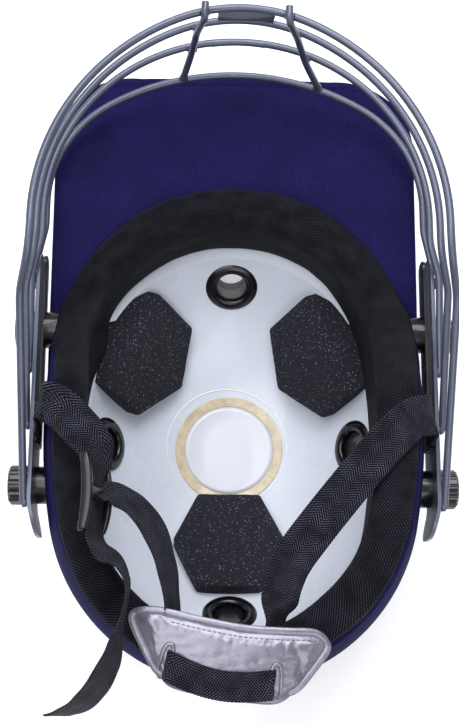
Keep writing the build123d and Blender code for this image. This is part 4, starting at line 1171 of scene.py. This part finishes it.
# Centre line and direction across of each webbing, from its end on the lug or in the buckle
RIGHT_WEBBING = (
    ((103.7, -2, 127), (0, -1, 0)),
    ((103.7, -2, 139), (0, -1, 0)),
    ((103.4, -2.5, 148), (0.12, -0.97, -0.2)),
    ((100.4, -1, 155.4), (0.5, -0.65, -0.55)),
    ((91.0, -3.5, 159.6), (0.72, -0.62, -0.3)),
    ((78.0, -15, 159.2), (0.78, -0.62, -0.08)),
    ((61.5, -34, 156.2), (0.76, -0.65, 0)),
    ((42.0, -58, 152.4), (0.78, -0.62, 0)),
    ((27.5, -78, 151.4), (0.86, -0.42, -0.12)),
    ((22.6, -94, 151.4), (0.84, -0.34, -0.4)),
    ((20.4, -106, 149.4), (0.45, -0.16, -0.88)),
    ((19.5, -116, 146.5), (0.45, -0.1, -0.88)),
)
LEFT_WEBBING = (
    ((-103.7, -2, 127), (0, 1, 0)),
    ((-103.7, -2, 139), (0, 1, 0)),
    ((-103.5, -1, 148), (0.1, 0.97, 0.2)),
    ((-100.0, 3.5, 155.6), (0.5, 0.65, 0.5)),
    ((-91.0, 0, 160.4), (0.74, 0.62, 0.22)),
    ((-80.0, -10.5, 162.2), (0.8, 0.56, -0.12)),
    ((-72.2, -19.5, 161.4), (0.86, 0.34, -0.42)),
    ((-70.4, -26.5, 159.4), (0.62, 0.06, -0.78)),
    ((-71.4, -36, 158.65), (0.342, 0, -0.94)),
    ((-71.4, -54, 158.65), (0.342, 0, -0.94)),
    ((-70.6, -67, 159.0), (0.342, 0.1, -0.94)),
    ((-64.0, -75.5, 161.2), (0.36, 0.3, -0.88)),
    ((-56.6, -83, 164.6), (0.1, 0.12, -0.98)),
    ((-53.6, -93, 167.6), (0, 0.05, -1)),
    ((-55.2, -105, 169.4), (0, 0, -1)),
    ((-58.8, -118, 168.6), (0.22, -0.08, -0.97)),
    ((-64.2, -132, 161.6), (0.56, 0.12, -0.8)),
    ((-71.8, -143, 150.5), (0.73, 0.15, -0.67)),
    ((-80.6, -149.6, 139.6), (0.76, 0.03, -0.64)),
    ((-89.0, -152.2, 131.0), (0.76, 0.03, -0.64)),
)
LOWER_WEBBING = (
    ((-71.8, -45, 160.0), (0.05, 0.5, -0.86)),
    ((-67.0, -43.4, 157.4), (0.06, 0.6, -0.8)),
    ((-60.0, -44.4, 155.4), (0.2, 0.6, -0.77)),
    ((-50.4, -50, 153.8), (0.42, 0.42, -0.8)),
    ((-41.4, -61.5, 152.0), (0.52, 0.28, -0.8)),
    ((-35.0, -79, 151.0), (0.46, 0.1, -0.88)),
    ((-32.0, -97, 149.6), (0.34, 0, -0.94)),
    ((-31.8, -112, 147.0), (0.34, 0, -0.94)),
)


def turning_across(stations, count):
    """Directions across, evenly spread over a path through the stations."""
    turned = []
    for n, t in walked([Vector(spot) for spot, _ in stations], count - 1):
        t = t * t * (3 - 2 * t)
        turned.append(Vector(stations[n][1]).lerp(Vector(stations[n + 1][1]), t).normalized())
    return turned


EDGE_TOOTH = 0.16
STRAP_CURL = 0.25


def ribbon(name, path, acrosses, sizes, width, cut=0.0, curl=0.0):
    """Flat webbing along a path: edges a little toothed, faces slightly waved, the last end cut aslant."""
    half, thick = width / MM / 2, sizes.web_thick / MM
    rib = sizes.web_rib / MM
    rows, run = [], 0.0
    last = len(path) - 1
    for n, spot in enumerate(path):
        if n:
            run += (spot - path[n - 1]).length
        along = heading(path, n)
        across = (acrosses[n] - along * acrosses[n].dot(along)).normalized()
        up = along.cross(across)
        reach = half + EDGE_TOOTH * math.sin(2 * math.pi * run / rib)
        slant = cut * max(0.0, 1 - (last - n) / 8)
        row = []
        for face in (1, -1):
            for k in range(15):
                share = face * (1 - k / 7)
                wave = 0.3 * unevenness(spot + across * (share * half), 11.0, 5.0) + curl * share**4
                height = face * thick * (0.5 - 0.24 * share**10) + wave
                row.append(spot + across * (share * reach) + up * height + along * (slant * share))
        rows.append(row)
    return skin_mesh(name, rows, closed_columns=True, caps=True)


# Each webbing's stations, the solids that it stands for, where it bends over the hinge, and its end's slant
STRAPS = {
    "right_webbing": (
        RIGHT_WEBBING, ["strap_anchor_right", "strap_right"], ((86, -4, 155.6), (75, -18, 155.6)), 0.0
    ),
    "left_webbing": (
        LEFT_WEBBING, ["strap_anchor_left", "strap_left_upper", "strap_tail"],
        ((-86, -4, 155.6), (-76, -17, 155.6)), 2.2,
    ),
    "lower_webbing": (LOWER_WEBBING, ["strap_left_lower"], None, 0.0),
}


class HELMET_OT_straps(bpy.types.Operator):
    """Make the chin strap's webbing: right strap, left strap through the slider to its tip, lower strap"""

    bl_idname = "helmet.straps"
    bl_label = "Chin strap"

    def execute(self, context):
        sizes = context.scene.helmet_sizes
        for name, (stations, nodes, bend, cut) in STRAPS.items():
            path = curve_through([Vector(spot) for spot, _ in stations], 0.7)
            acrosses = turning_across(stations, len(path))
            mesh = ribbon(name, path, acrosses, sizes, sizes.web_width, cut, STRAP_CURL)
            made = piece(name, mesh, "webbing", "" if bend else "chin_strap", nodes)
            if bend:
                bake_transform(made)
        return {"FINISHED"}


BUCKLE_SPOT = Vector((-71.415, -44.022, 158.65))
BUCKLE_LEAN = math.radians(70.0)
BUCKLE_HALF_WIDTH = 12.2
BUCKLE_HALF_LENGTH = 20.0
RAIL_SIZE = (1.5, 2.9)
RAIL_BOW = 2.4
RAIL_DRAWN_IN = 0.7
RAIL_SLIMMER = 0.4
BAR_HALF_WIDTH = 2.5
BAR_REACH = 12.6
# Place along the rails and height of each bar: two below the webbing's ends, one above its middle
CROSS_BARS = ((-17.5, -2.6), (17.5, -2.6), (0.0, 2.6))
SOFT_BOX = (
    (1.0, 0.62), (0.85, 0.86), (0.55, 1.0), (-0.55, 1.0), (-0.85, 0.86), (-1.0, 0.62), (-1.0, -0.62),
    (-0.85, -0.86), (-0.55, -1.0), (0.55, -1.0), (0.85, -0.86), (1.0, -0.62),
)
ROUNDED_END = ((0.0, 0.55), (0.25, 0.8), (0.7, 0.95))


class HELMET_OT_buckle(bpy.types.Operator):
    """Make the slider buckle: two rails and three bars, moulded in one with rounded edges"""

    bl_idname = "helmet.buckle"
    bl_label = "Slider buckle"

    def execute(self, context):
        along = Vector((0, -1, 0))
        across = Vector((math.cos(BUCKLE_LEAN), 0, -math.sin(BUCKLE_LEAN)))
        up = Vector((math.sin(BUCKLE_LEAN), 0, math.cos(BUCKLE_LEAN)))
        parts = []
        wide, high = RAIL_SIZE
        shares = [n / 24 - 1 for n in range(49)]
        slim = [1 - RAIL_SLIMMER * abs(t) ** 3 for t in shares]
        for side in (-1, 1):
            rail = []
            for t in shares:
                out = side * (BUCKLE_HALF_WIDTH - RAIL_DRAWN_IN * abs(t) ** 6)
                rise = RAIL_BOW * (0.5 - t * t)
                rail.append(BUCKLE_SPOT + across * out + along * (BUCKLE_HALF_LENGTH * t) + up * rise)
            parts.append(self.rod(rail, up, [(wide * x, high * y) for x, y in SOFT_BOX], slim))
        for place, level in CROSS_BARS:
            middle = BUCKLE_SPOT + along * place + up * level
            bar = [middle + across * (BAR_REACH * (n / 12 - 1)) for n in range(25)]
            parts.append(self.rod(bar, up, [(BAR_HALF_WIDTH * x, y) for x, y in SOFT_BOX], [1.0] * 25))
        mesh = join_meshes("slider_frame", parts)
        piece("slider_frame", mesh, "plastic", "slider", ["slider_buckle"])
        return {"FINISHED"}

    def rod(self, path, up, section, slim):
        """A moulded rod with rounded ends. Its height follows the slim shares."""
        along = (path[-1] - path[0]).normalized()
        side = along.cross(up)
        stops = [(path[0] + along * go, size, slim[0]) for go, size in ROUNDED_END]
        stops += [(spot, 1.0, share) for spot, share in zip(path[1:-1], slim[1:-1])]
        stops += [(path[-1] - along * go, size, slim[-1]) for go, size in reversed(ROUNDED_END)]
        rows = []
        for spot, size, share in stops:
            rows.append([spot + side * (x * size) + up * (y * size * share) for x, y in section])
        return skin_mesh("rod", rows, closed_columns=True, caps=True)


CUP_SPOT = Vector((-4.0, -122.96, 153.55))
CUP_MIDDLE = 4.0
CUP_BOW = 4.0
CUP_TURN = Matrix.Rotation(math.radians(-8.5), 3, "Z") @ Matrix.Rotation(math.radians(4.0), 3, "X")
CUP_THICK = 3.9
LINING_THICK = 1.3
LINING_MIDDLE = -1.2
LINING_SIZE_SHARE = 0.93
# Upper and lower edge of the cup's plan, each from left to right
CUP_TOP = ((-52.5, 14.5), (-36.0, 15.8), (-16.0, 14.4), (6.0, 13.8), (27.0, 15.6), (42.0, 17.4), (51.0, 15.0))
CUP_LOW = (
    (-31.0, -15.6), (-24.0, -17.4), (-12.0, -18.2), (2.0, -18.4), (14.0, -18.2), (26.0, -17.2), (34.5, -14.0),
)
# Where the border's row of stitches runs, as a share of the way in, and how deep it draws the cover down
SEWN_SHARE = 0.085
SEWN_WIDTH_SHARE = 0.02
SEWN_DEPTH_SHARE = 0.12
SWELL_SHARE = 0.11
CREASE_DEPTH = 0.45
CREASE_LENGTH = 24.0
CREASE_WIDTH = 4.0
CORNER_ROUNDING = 0.085
EDGE_SECTION = (
    (1.7, 0.0), (1.5, 1.2), (0.6, 1.9), (-0.8, 2.0), (-2.2, 1.7), (-2.5, 1.2), (-1.0, 0.6), (-1.0, -0.6),
    (-2.5, -1.2), (-2.2, -1.7), (-0.8, -2.0), (0.6, -1.9), (1.5, -1.2),
)
# Middle and lean of the two slots
SLOTS = ((-29.5, -7.0, 0.12), (25.5, -8.5, -0.1))
SLOT_HALF_WIDTH = 2.6
SLOT_HALF_LENGTH = 8.4
PIPING_RADIUS = 1.05
BAND_WIDTH = 0.0145
# The band: left end, run, fall from left to right, sag, and height with its bow and its dip into the slots
BAND_LEFT = (-29.6, -8.6)
BAND_RUN = 55.2
BAND_FALL = 1.2
BAND_SAG = 5.0
BAND_TOP = 10.2
BAND_BOW = 1.6
BAND_DIP = 6.0
BAND_DIP_RUN = 2.4
# Rows of stitches: inside the upper border and down the right end, and up the seam by the right slot
ROW_LEVEL = 0.78
ROW_END = 0.92
SEAM_ROW = ((27.0, 9.5), 0.5)
# The cover's filling: how far a point may move, and the enlargement and frames of the simulation
STUFFED_MOVE = 0.0006
STUFFED_GROWN = 6.0
STUFFED_FRAMES = 20


def cup_place(x, y, z):
    """A place on the cup, whose own z points out of its face, in the helmet's frame."""
    return CUP_SPOT + CUP_TURN @ Vector((x, y, z))


def spread(points, count):
    """Points in even steps along a smooth line through plan points."""
    line = curve_through([Vector((x, y, 0)) for x, y in points], 0.5)
    return even_points(line, run_of(line) / count)[: count + 1]


def stuffed(mesh, held):
    """Blow a slack closed form up as cloth. Held points stay, and the others move only a little."""
    # The simulation runs on an enlarged copy, because cloth settings suit larger things
    start = [vertex.co.copy() for vertex in mesh.vertices]
    big = mesh.copy()
    big.transform(Matrix.Scale(STUFFED_GROWN, 4))
    stand_in = bpy.data.objects.new("stuffing", big)
    scene = bpy.context.scene
    scene.collection.objects.link(stand_in)
    stand_in.vertex_groups.new(name="held").add(held, 1.0, "REPLACE")
    cloth = stand_in.modifiers.new("Stuffing", "CLOTH")
    cloth.settings.quality = 6
    cloth.settings.use_pressure = True
    cloth.settings.uniform_pressure_force = 4.0
    cloth.settings.effector_weights.gravity = 0
    cloth.settings.vertex_group_mass = "held"
    cloth.settings.shrink_min = -0.05
    cloth.settings.bending_stiffness = 0.2
    cloth.point_cache.frame_start = 1
    cloth.point_cache.frame_end = STUFFED_FRAMES
    for frame_number in range(1, STUFFED_FRAMES + 1):
        scene.frame_set(frame_number)
    blown = stand_in.evaluated_get(bpy.context.evaluated_depsgraph_get()).to_mesh()
    for vertex, first, last in zip(mesh.vertices, start, blown.vertices):
        move = last.co / STUFFED_GROWN - first
        if move.length > STUFFED_MOVE:
            move *= STUFFED_MOVE / move.length
        vertex.co = first + move
    bpy.data.objects.remove(stand_in)
    bpy.data.meshes.remove(big)
    scene.frame_set(1)


def smoother(made):
    """Work one subdivision into a piece's mesh."""
    step = made.modifiers.new("Finer", "SUBSURF")
    step.levels = 1
    step.render_levels = 1
    done = made.evaluated_get(bpy.context.evaluated_depsgraph_get())
    fine = bpy.data.meshes.new_from_object(done)
    made.modifiers.clear()
    coarse = made.data
    made.data = fine
    bpy.data.meshes.remove(coarse)


class HELMET_OT_cup(bpy.types.Operator):
    """Make the chin cup: stuffed cover with its lining, bound edge, stitches, piped slots and band"""

    bl_idname = "helmet.cup"
    bl_label = "Chin cup"

    COLUMNS = 64
    ROWS = 24

    def execute(self, context):
        sizes = context.scene.helmet_sizes
        self.top, self.low = spread(CUP_TOP, self.COLUMNS), spread(CUP_LOW, self.COLUMNS)
        cover = self.cover()
        self.face = ray_tree(cover.data)
        self.lining()
        self.binding()
        self.stitches(sizes.stitch / MM)
        self.slots()
        self.band(sizes)
        return {"FINISHED"}

    def plan(self, u, v):
        """Plan place on the cup: u from its left to its right end, v from its lower to its upper edge."""
        at = (u + 1) / 2 * self.COLUMNS
        n = min(int(at), self.COLUMNS - 1)
        upper = self.top[n].lerp(self.top[n + 1], at - n)
        lower = self.low[n].lerp(self.low[n + 1], at - n)
        spot = lower.lerp(upper, (v + 1) / 2)
        pull = 1 - CORNER_ROUNDING * abs(u) ** 7 * abs(v) ** 5
        return spot.x * pull, spot.y * pull

    def slack(self, name, thick, size, middle, sewing=0.0):
        """A closed form, flat at its edge and bowed back at its ends, with the points that sewing holds."""
        rows, held = [], []
        for face in (1, -1):
            for r in range(self.ROWS + 1):
                v = face * (1 - 2 * r / self.ROWS)
                row = []
                for c in range(self.COLUMNS + 1):
                    u = 2 * c / self.COLUMNS - 1
                    x, y = self.plan(u * size, v * size)
                    rim = min(1 - abs(u), (1 - abs(v)) * 0.42)
                    swell = min(1.0, max(0.0, rim) / SWELL_SHARE) ** 0.5
                    # The row of stitches fades out low on the cup and at its left end
                    fade = clipped((v + 0.2) * 3) * clipped((u + 0.75) * 3) if face == 1 else 0.0
                    sewn = sewing * math.exp(-((rim - SEWN_SHARE) / SEWN_WIDTH_SHARE) ** 2) * fade
                    lift = face * thick * max(swell - sewn, 0.03)
                    row.append(cup_place(x, y, middle - CUP_BOW * u * u + lift))
                    if rim < 0.001 or sewn > 0.02:
                        held.append(len(rows) * (self.COLUMNS + 1) + c)
                rows.append(row)
        mesh = skin_mesh(name, rows, closed_rows=True)
        turn_outwards(mesh, close=True)
        return mesh, held

    def cushion(self, name, mesh, seed, finish, slot, node):
        """A padded piece of a closed form, creased along its length."""
        for vertex in mesh.vertices:
            spot = vertex.co / MM
            crease = 1 - abs(noise.noise(Vector((spot.x / CREASE_LENGTH, spot.y / CREASE_WIDTH, seed))))
            vertex.co += vertex.normal * (MM * CREASE_DEPTH * (0.3 - crease**9))
        made = piece(name, mesh, finish, "chin_strap", [node])
        smoother(made)
        shade_smooth(made.data)
        return made

    def cover(self):
        """Stuffed leatherette cover."""
        mesh, held = self.slack("cup_cover", CUP_THICK, 1.0, CUP_MIDDLE, SEWN_DEPTH_SHARE)
        stuffed(mesh, held)
        made = self.cushion("cup_cover", mesh, CUP_MIDDLE, "leatherette", "mauve_leatherette", "chin_cup")
        return made

    def lining(self):
        """Thin foam behind the cover."""
        mesh, _ = self.slack("cup_back", LINING_THICK, LINING_SIZE_SHARE, LINING_MIDDLE)
        made = self.cushion("cup_back", mesh, LINING_MIDDLE, "foam", "cup_lining_foam", "cup_lining")

    def on_face(self, x, y, lift=0.0):
        """The place a lift above the stuffed face under a plan place."""
        start = cup_place(x, y, 30.0)
        down = (cup_place(x, y, 0.0) - start).normalized()
        hit, _, _, _ = self.face.ray_cast(start * MM, down)
        spot = hit / MM if hit else cup_place(x, y, 0.0)
        return spot - down * lift

    def binding(self):
        """Strip of the cover's material folded over the edge, all round."""
        upper = [(2 * n / 60 - 1, 1) for n in range(60)]
        right = [(1, 1 - 2 * n / 16) for n in range(16)]
        lower = [(1 - 2 * n / 40, -1) for n in range(40)]
        left = [(-1, 2 * n / 16 - 1) for n in range(16)]
        edge = []
        for u, v in upper + right + lower + left:
            x, y = self.plan(u, v)
            edge.append(cup_place(x, y, CUP_MIDDLE - CUP_BOW * u * u))
        path = even_points(edge + [edge[0]], 1.2, closed=True)
        for n, spot in enumerate(path):
            path[n] = spot + Vector((0, 0, 0.25 * unevenness(spot, 6.0, 9.0)))
        up = cup_place(0, 0, 1.0) - cup_place(0, 0, 0.0)
        mesh = swept("cup_edge", path, EDGE_SECTION, up, closed=True)
        piece("cup_edge", mesh, "leatherette", "chin_strap", ["cup_binding"])

    def stitches(self, stitch):
        """Rows of stitches: inside the border, and up the middle seam by the right slot."""
        line = [self.plan(2 * n / 120 - 1, ROW_LEVEL) for n in range(24, 116)]
        line += [self.plan(ROW_END, ROW_LEVEL - 1.5 * n / 30) for n in range(1, 31)]
        (x, top), step = SEAM_ROW
        rows = []
        for places in (line, [(x, top - step * n) for n in range(24)]):
            path = [self.on_face(x, y, 0.1) for x, y in places]
            rows.append(stitch_row("cup_row", even_points(path, 1.0), UP, stitch))
        mesh = join_meshes("cup_stitches", rows)
        piece("cup_stitches", mesh, "leatherette", "chin_strap")

    def slots(self):
        """Piping round the two slots that the band goes through."""
        rolls = []
        for x, y, lean in SLOTS:
            loop = []
            for turn in full_turn(40):
                u = math.copysign(abs(math.cos(turn)) ** 0.7, math.cos(turn)) * SLOT_HALF_WIDTH
                v = math.copysign(abs(math.sin(turn)) ** 0.7, math.sin(turn)) * SLOT_HALF_LENGTH
                loop.append(self.on_face(x + u + lean * v, y + v, 0.25))
            rolls.append(swept("piping", loop, round_section(PIPING_RADIUS, 10), UP, closed=True))
        mesh = join_meshes("slot_piping", rolls)
        piece("slot_piping", mesh, "leatherette", "chin_strap")

    def band(self, sizes):
        """Webbing from slot to slot over the face, sagging in the middle."""
        line = []
        for n in range(81):
            t = n / 80
            x = BAND_LEFT[0] + BAND_RUN * t
            y = BAND_LEFT[1] - BAND_FALL * t - BAND_SAG * math.sin(math.pi * t)
            edge = min(t, 1 - t) * BAND_RUN
            sink = BAND_DIP * max(0.0, 1 - edge / BAND_DIP_RUN) ** 2
            line.append(cup_place(x, y, BAND_TOP - BAND_BOW * (2 * t - 1) ** 2 - sink))
        path = even_points(line, 0.7)
        acrosses = [cup_place(0, 1, 0) - cup_place(0, 0, 0)] * len(path)
        mesh = ribbon("cup_band", path, acrosses, sizes, BAND_WIDTH)
        made = piece("cup_band", mesh, "webbing", "chin_strap", ["chin_band"])


class HELMET_OT_finishes(bpy.types.Operator):
    """Make the helmet's materials from the colours and sizes in the panel"""

    bl_idname = "helmet.finishes"
    bl_label = "Materials"

    def execute(self, context):
        make_finishes(context.scene.helmet_colours, context.scene.helmet_sizes)
        return {"FINISHED"}


CAMERA_SPOT = Vector((-0.0227, -0.1394, 0.8122))
CAMERA_BACK = Vector((-0.0279, -0.2444, 0.96927))
CAMERA_UP = Vector((-0.01353, 0.96965, 0.24411))
CAMERA_LENS = 64.64
SENSOR_HEIGHT = 36
FLOOR_HALF = 3
LAMP_TARGET = Vector((0, 0.02, 0.1))
# Name, place, size and power of each soft box
LAMPS = (
    ("soft_box_front", (0.1, 0.9, 1.25), 0.9, 15.0),
    ("soft_box_over", (-0.5, 0.0, 1.5), 1.2, 12.0),
    ("soft_box_nape", (0.35, -0.9, 1.0), 0.8, 4.0),
)


def pale_floor():
    """Seamless studio paper: matte near-white, brightened only where the camera looks straight at it."""
    made, tree, shader, spot = begin("matte_studio_paper", Base_Color=linear("#F1F2F4"), Roughness=0.9)
    fibre = add(tree, "ShaderNodeTexNoise", {"Vector": spot, "Scale": 400.0, "Detail": 2.0})
    relief = {"Height": fibre.outputs[0], "Strength": 0.05, "Distance": 0.0002}
    add(tree, "ShaderNodeBump", relief, shader.inputs["Normal"])
    seen = add(tree, "ShaderNodeLightPath").outputs["Is Camera Ray"]
    shader.inputs["Emission Color"].default_value = (1, 1, 1, 1)
    add(tree, "ShaderNodeMath", {0: seen, 1: 0.3}, shader.inputs["Emission Strength"], operation="MULTIPLY")
    return made


class HELMET_OT_stage(bpy.types.Operator):
    """Set the pale floor, the soft light and the camera"""

    bl_idname = "helmet.stage"
    bl_label = "Stage"

    def execute(self, context):
        scene = context.scene
        floor = bpy.data.meshes.new("floor")
        corners = [(FLOOR_HALF * x, FLOOR_HALF * y, 0) for x, y in ((-1, -1), (1, -1), (1, 1), (-1, 1))]
        floor.from_pydata(corners, [], [(0, 1, 2, 3)])
        floor.materials.append(pale_floor())
        ground = bpy.data.objects.new("floor", floor)
        scene.collection.objects.link(ground)
        self.world(scene)
        for lamp in LAMPS:
            self.lamp(*lamp)
        self.camera(scene)
        scene.view_settings.view_transform = "Standard"
        return {"FINISHED"}

    def world(self, scene):
        """Even pale surroundings."""
        world = bpy.data.worlds.new("studio")
        world.use_nodes = True
        scene.world = world
        tree = world.node_tree
        tree.nodes.clear()
        sky = add(tree, "ShaderNodeBackground", {"Color": linear("#F4F6FB"), "Strength": 0.55})
        add(tree, "ShaderNodeOutputWorld", {"Surface": sky.outputs[0]})

    def lamp(self, name, spot, size, power):
        """A square soft box that looks at the middle of the helmet."""
        light = bpy.data.lights.new(name, "AREA")
        light.shape = "SQUARE"
        light.size = size
        light.energy = power
        holder = bpy.data.objects.new(name, light)
        holder.location = spot
        holder.rotation_euler = (LAMP_TARGET - holder.location).to_track_quat("-Z", "Y").to_euler()
        bpy.context.scene.collection.objects.link(holder)

    def camera(self, scene):
        """The photo's view, straight down into the opening."""
        lens = bpy.data.cameras.new("camera")
        lens.sensor_fit = "VERTICAL"
        lens.sensor_height = SENSOR_HEIGHT
        lens.lens = CAMERA_LENS
        lens.clip_start = 0.01
        holder = bpy.data.objects.new("camera", lens)
        back = CAMERA_BACK.normalized()
        right = CAMERA_UP.cross(back).normalized()
        up = back.cross(right)
        turned = Matrix((right, up, back)).transposed().to_4x4()
        holder.matrix_world = Matrix.Translation(CAMERA_SPOT) @ turned
        scene.collection.objects.link(holder)
        scene.camera = holder


STEPS = (
    HELMET_OT_finishes,
    HELMET_OT_shell,
    HELMET_OT_peak,
    HELMET_OT_liner,
    HELMET_OT_ring,
    HELMET_OT_pads,
    HELMET_OT_guard,
    HELMET_OT_fixings,
    HELMET_OT_straps,
    HELMET_OT_buckle,
    HELMET_OT_cup,
    HELMET_OT_stage,
)


class HELMET_PT_panel(bpy.types.Panel):
    """Colours, sizes and building steps of the helmet"""

    bl_label = "Cricket helmet"
    bl_space_type = "VIEW_3D"
    bl_region_type = "UI"
    bl_category = "Helmet"

    def draw(self, context):
        for group in (context.scene.helmet_colours, context.scene.helmet_sizes):
            box = self.layout.box()
            for key in group.__annotations__:
                box.prop(group, key)
        for step in STEPS:
            self.layout.operator(step.bl_idname)


CLASSES = (HelmetColours, HelmetSizes) + STEPS + (HELMET_PT_panel,)


def register():
    for cls in CLASSES:
        bpy.utils.register_class(cls)
    bpy.types.Scene.helmet_colours = bpy.props.PointerProperty(type=HelmetColours)
    bpy.types.Scene.helmet_sizes = bpy.props.PointerProperty(type=HelmetSizes)


def unregister():
    del bpy.types.Scene.helmet_colours
    del bpy.types.Scene.helmet_sizes
    for cls in reversed(CLASSES):
        bpy.utils.unregister_class(cls)


def main():
    register()
    bpy.ops.helmet.finishes()
    bpy.ops.helmet.shell()
    bpy.ops.helmet.peak()
    bpy.ops.helmet.liner()
    bpy.ops.helmet.ring()
    bpy.ops.helmet.pads()
    bpy.ops.helmet.guard()
    bpy.ops.helmet.fixings()
    bpy.ops.helmet.straps()
    bpy.ops.helmet.buckle()
    bpy.ops.helmet.cup()
    bpy.ops.helmet.stage()


if __name__ == "__main__":
    main()
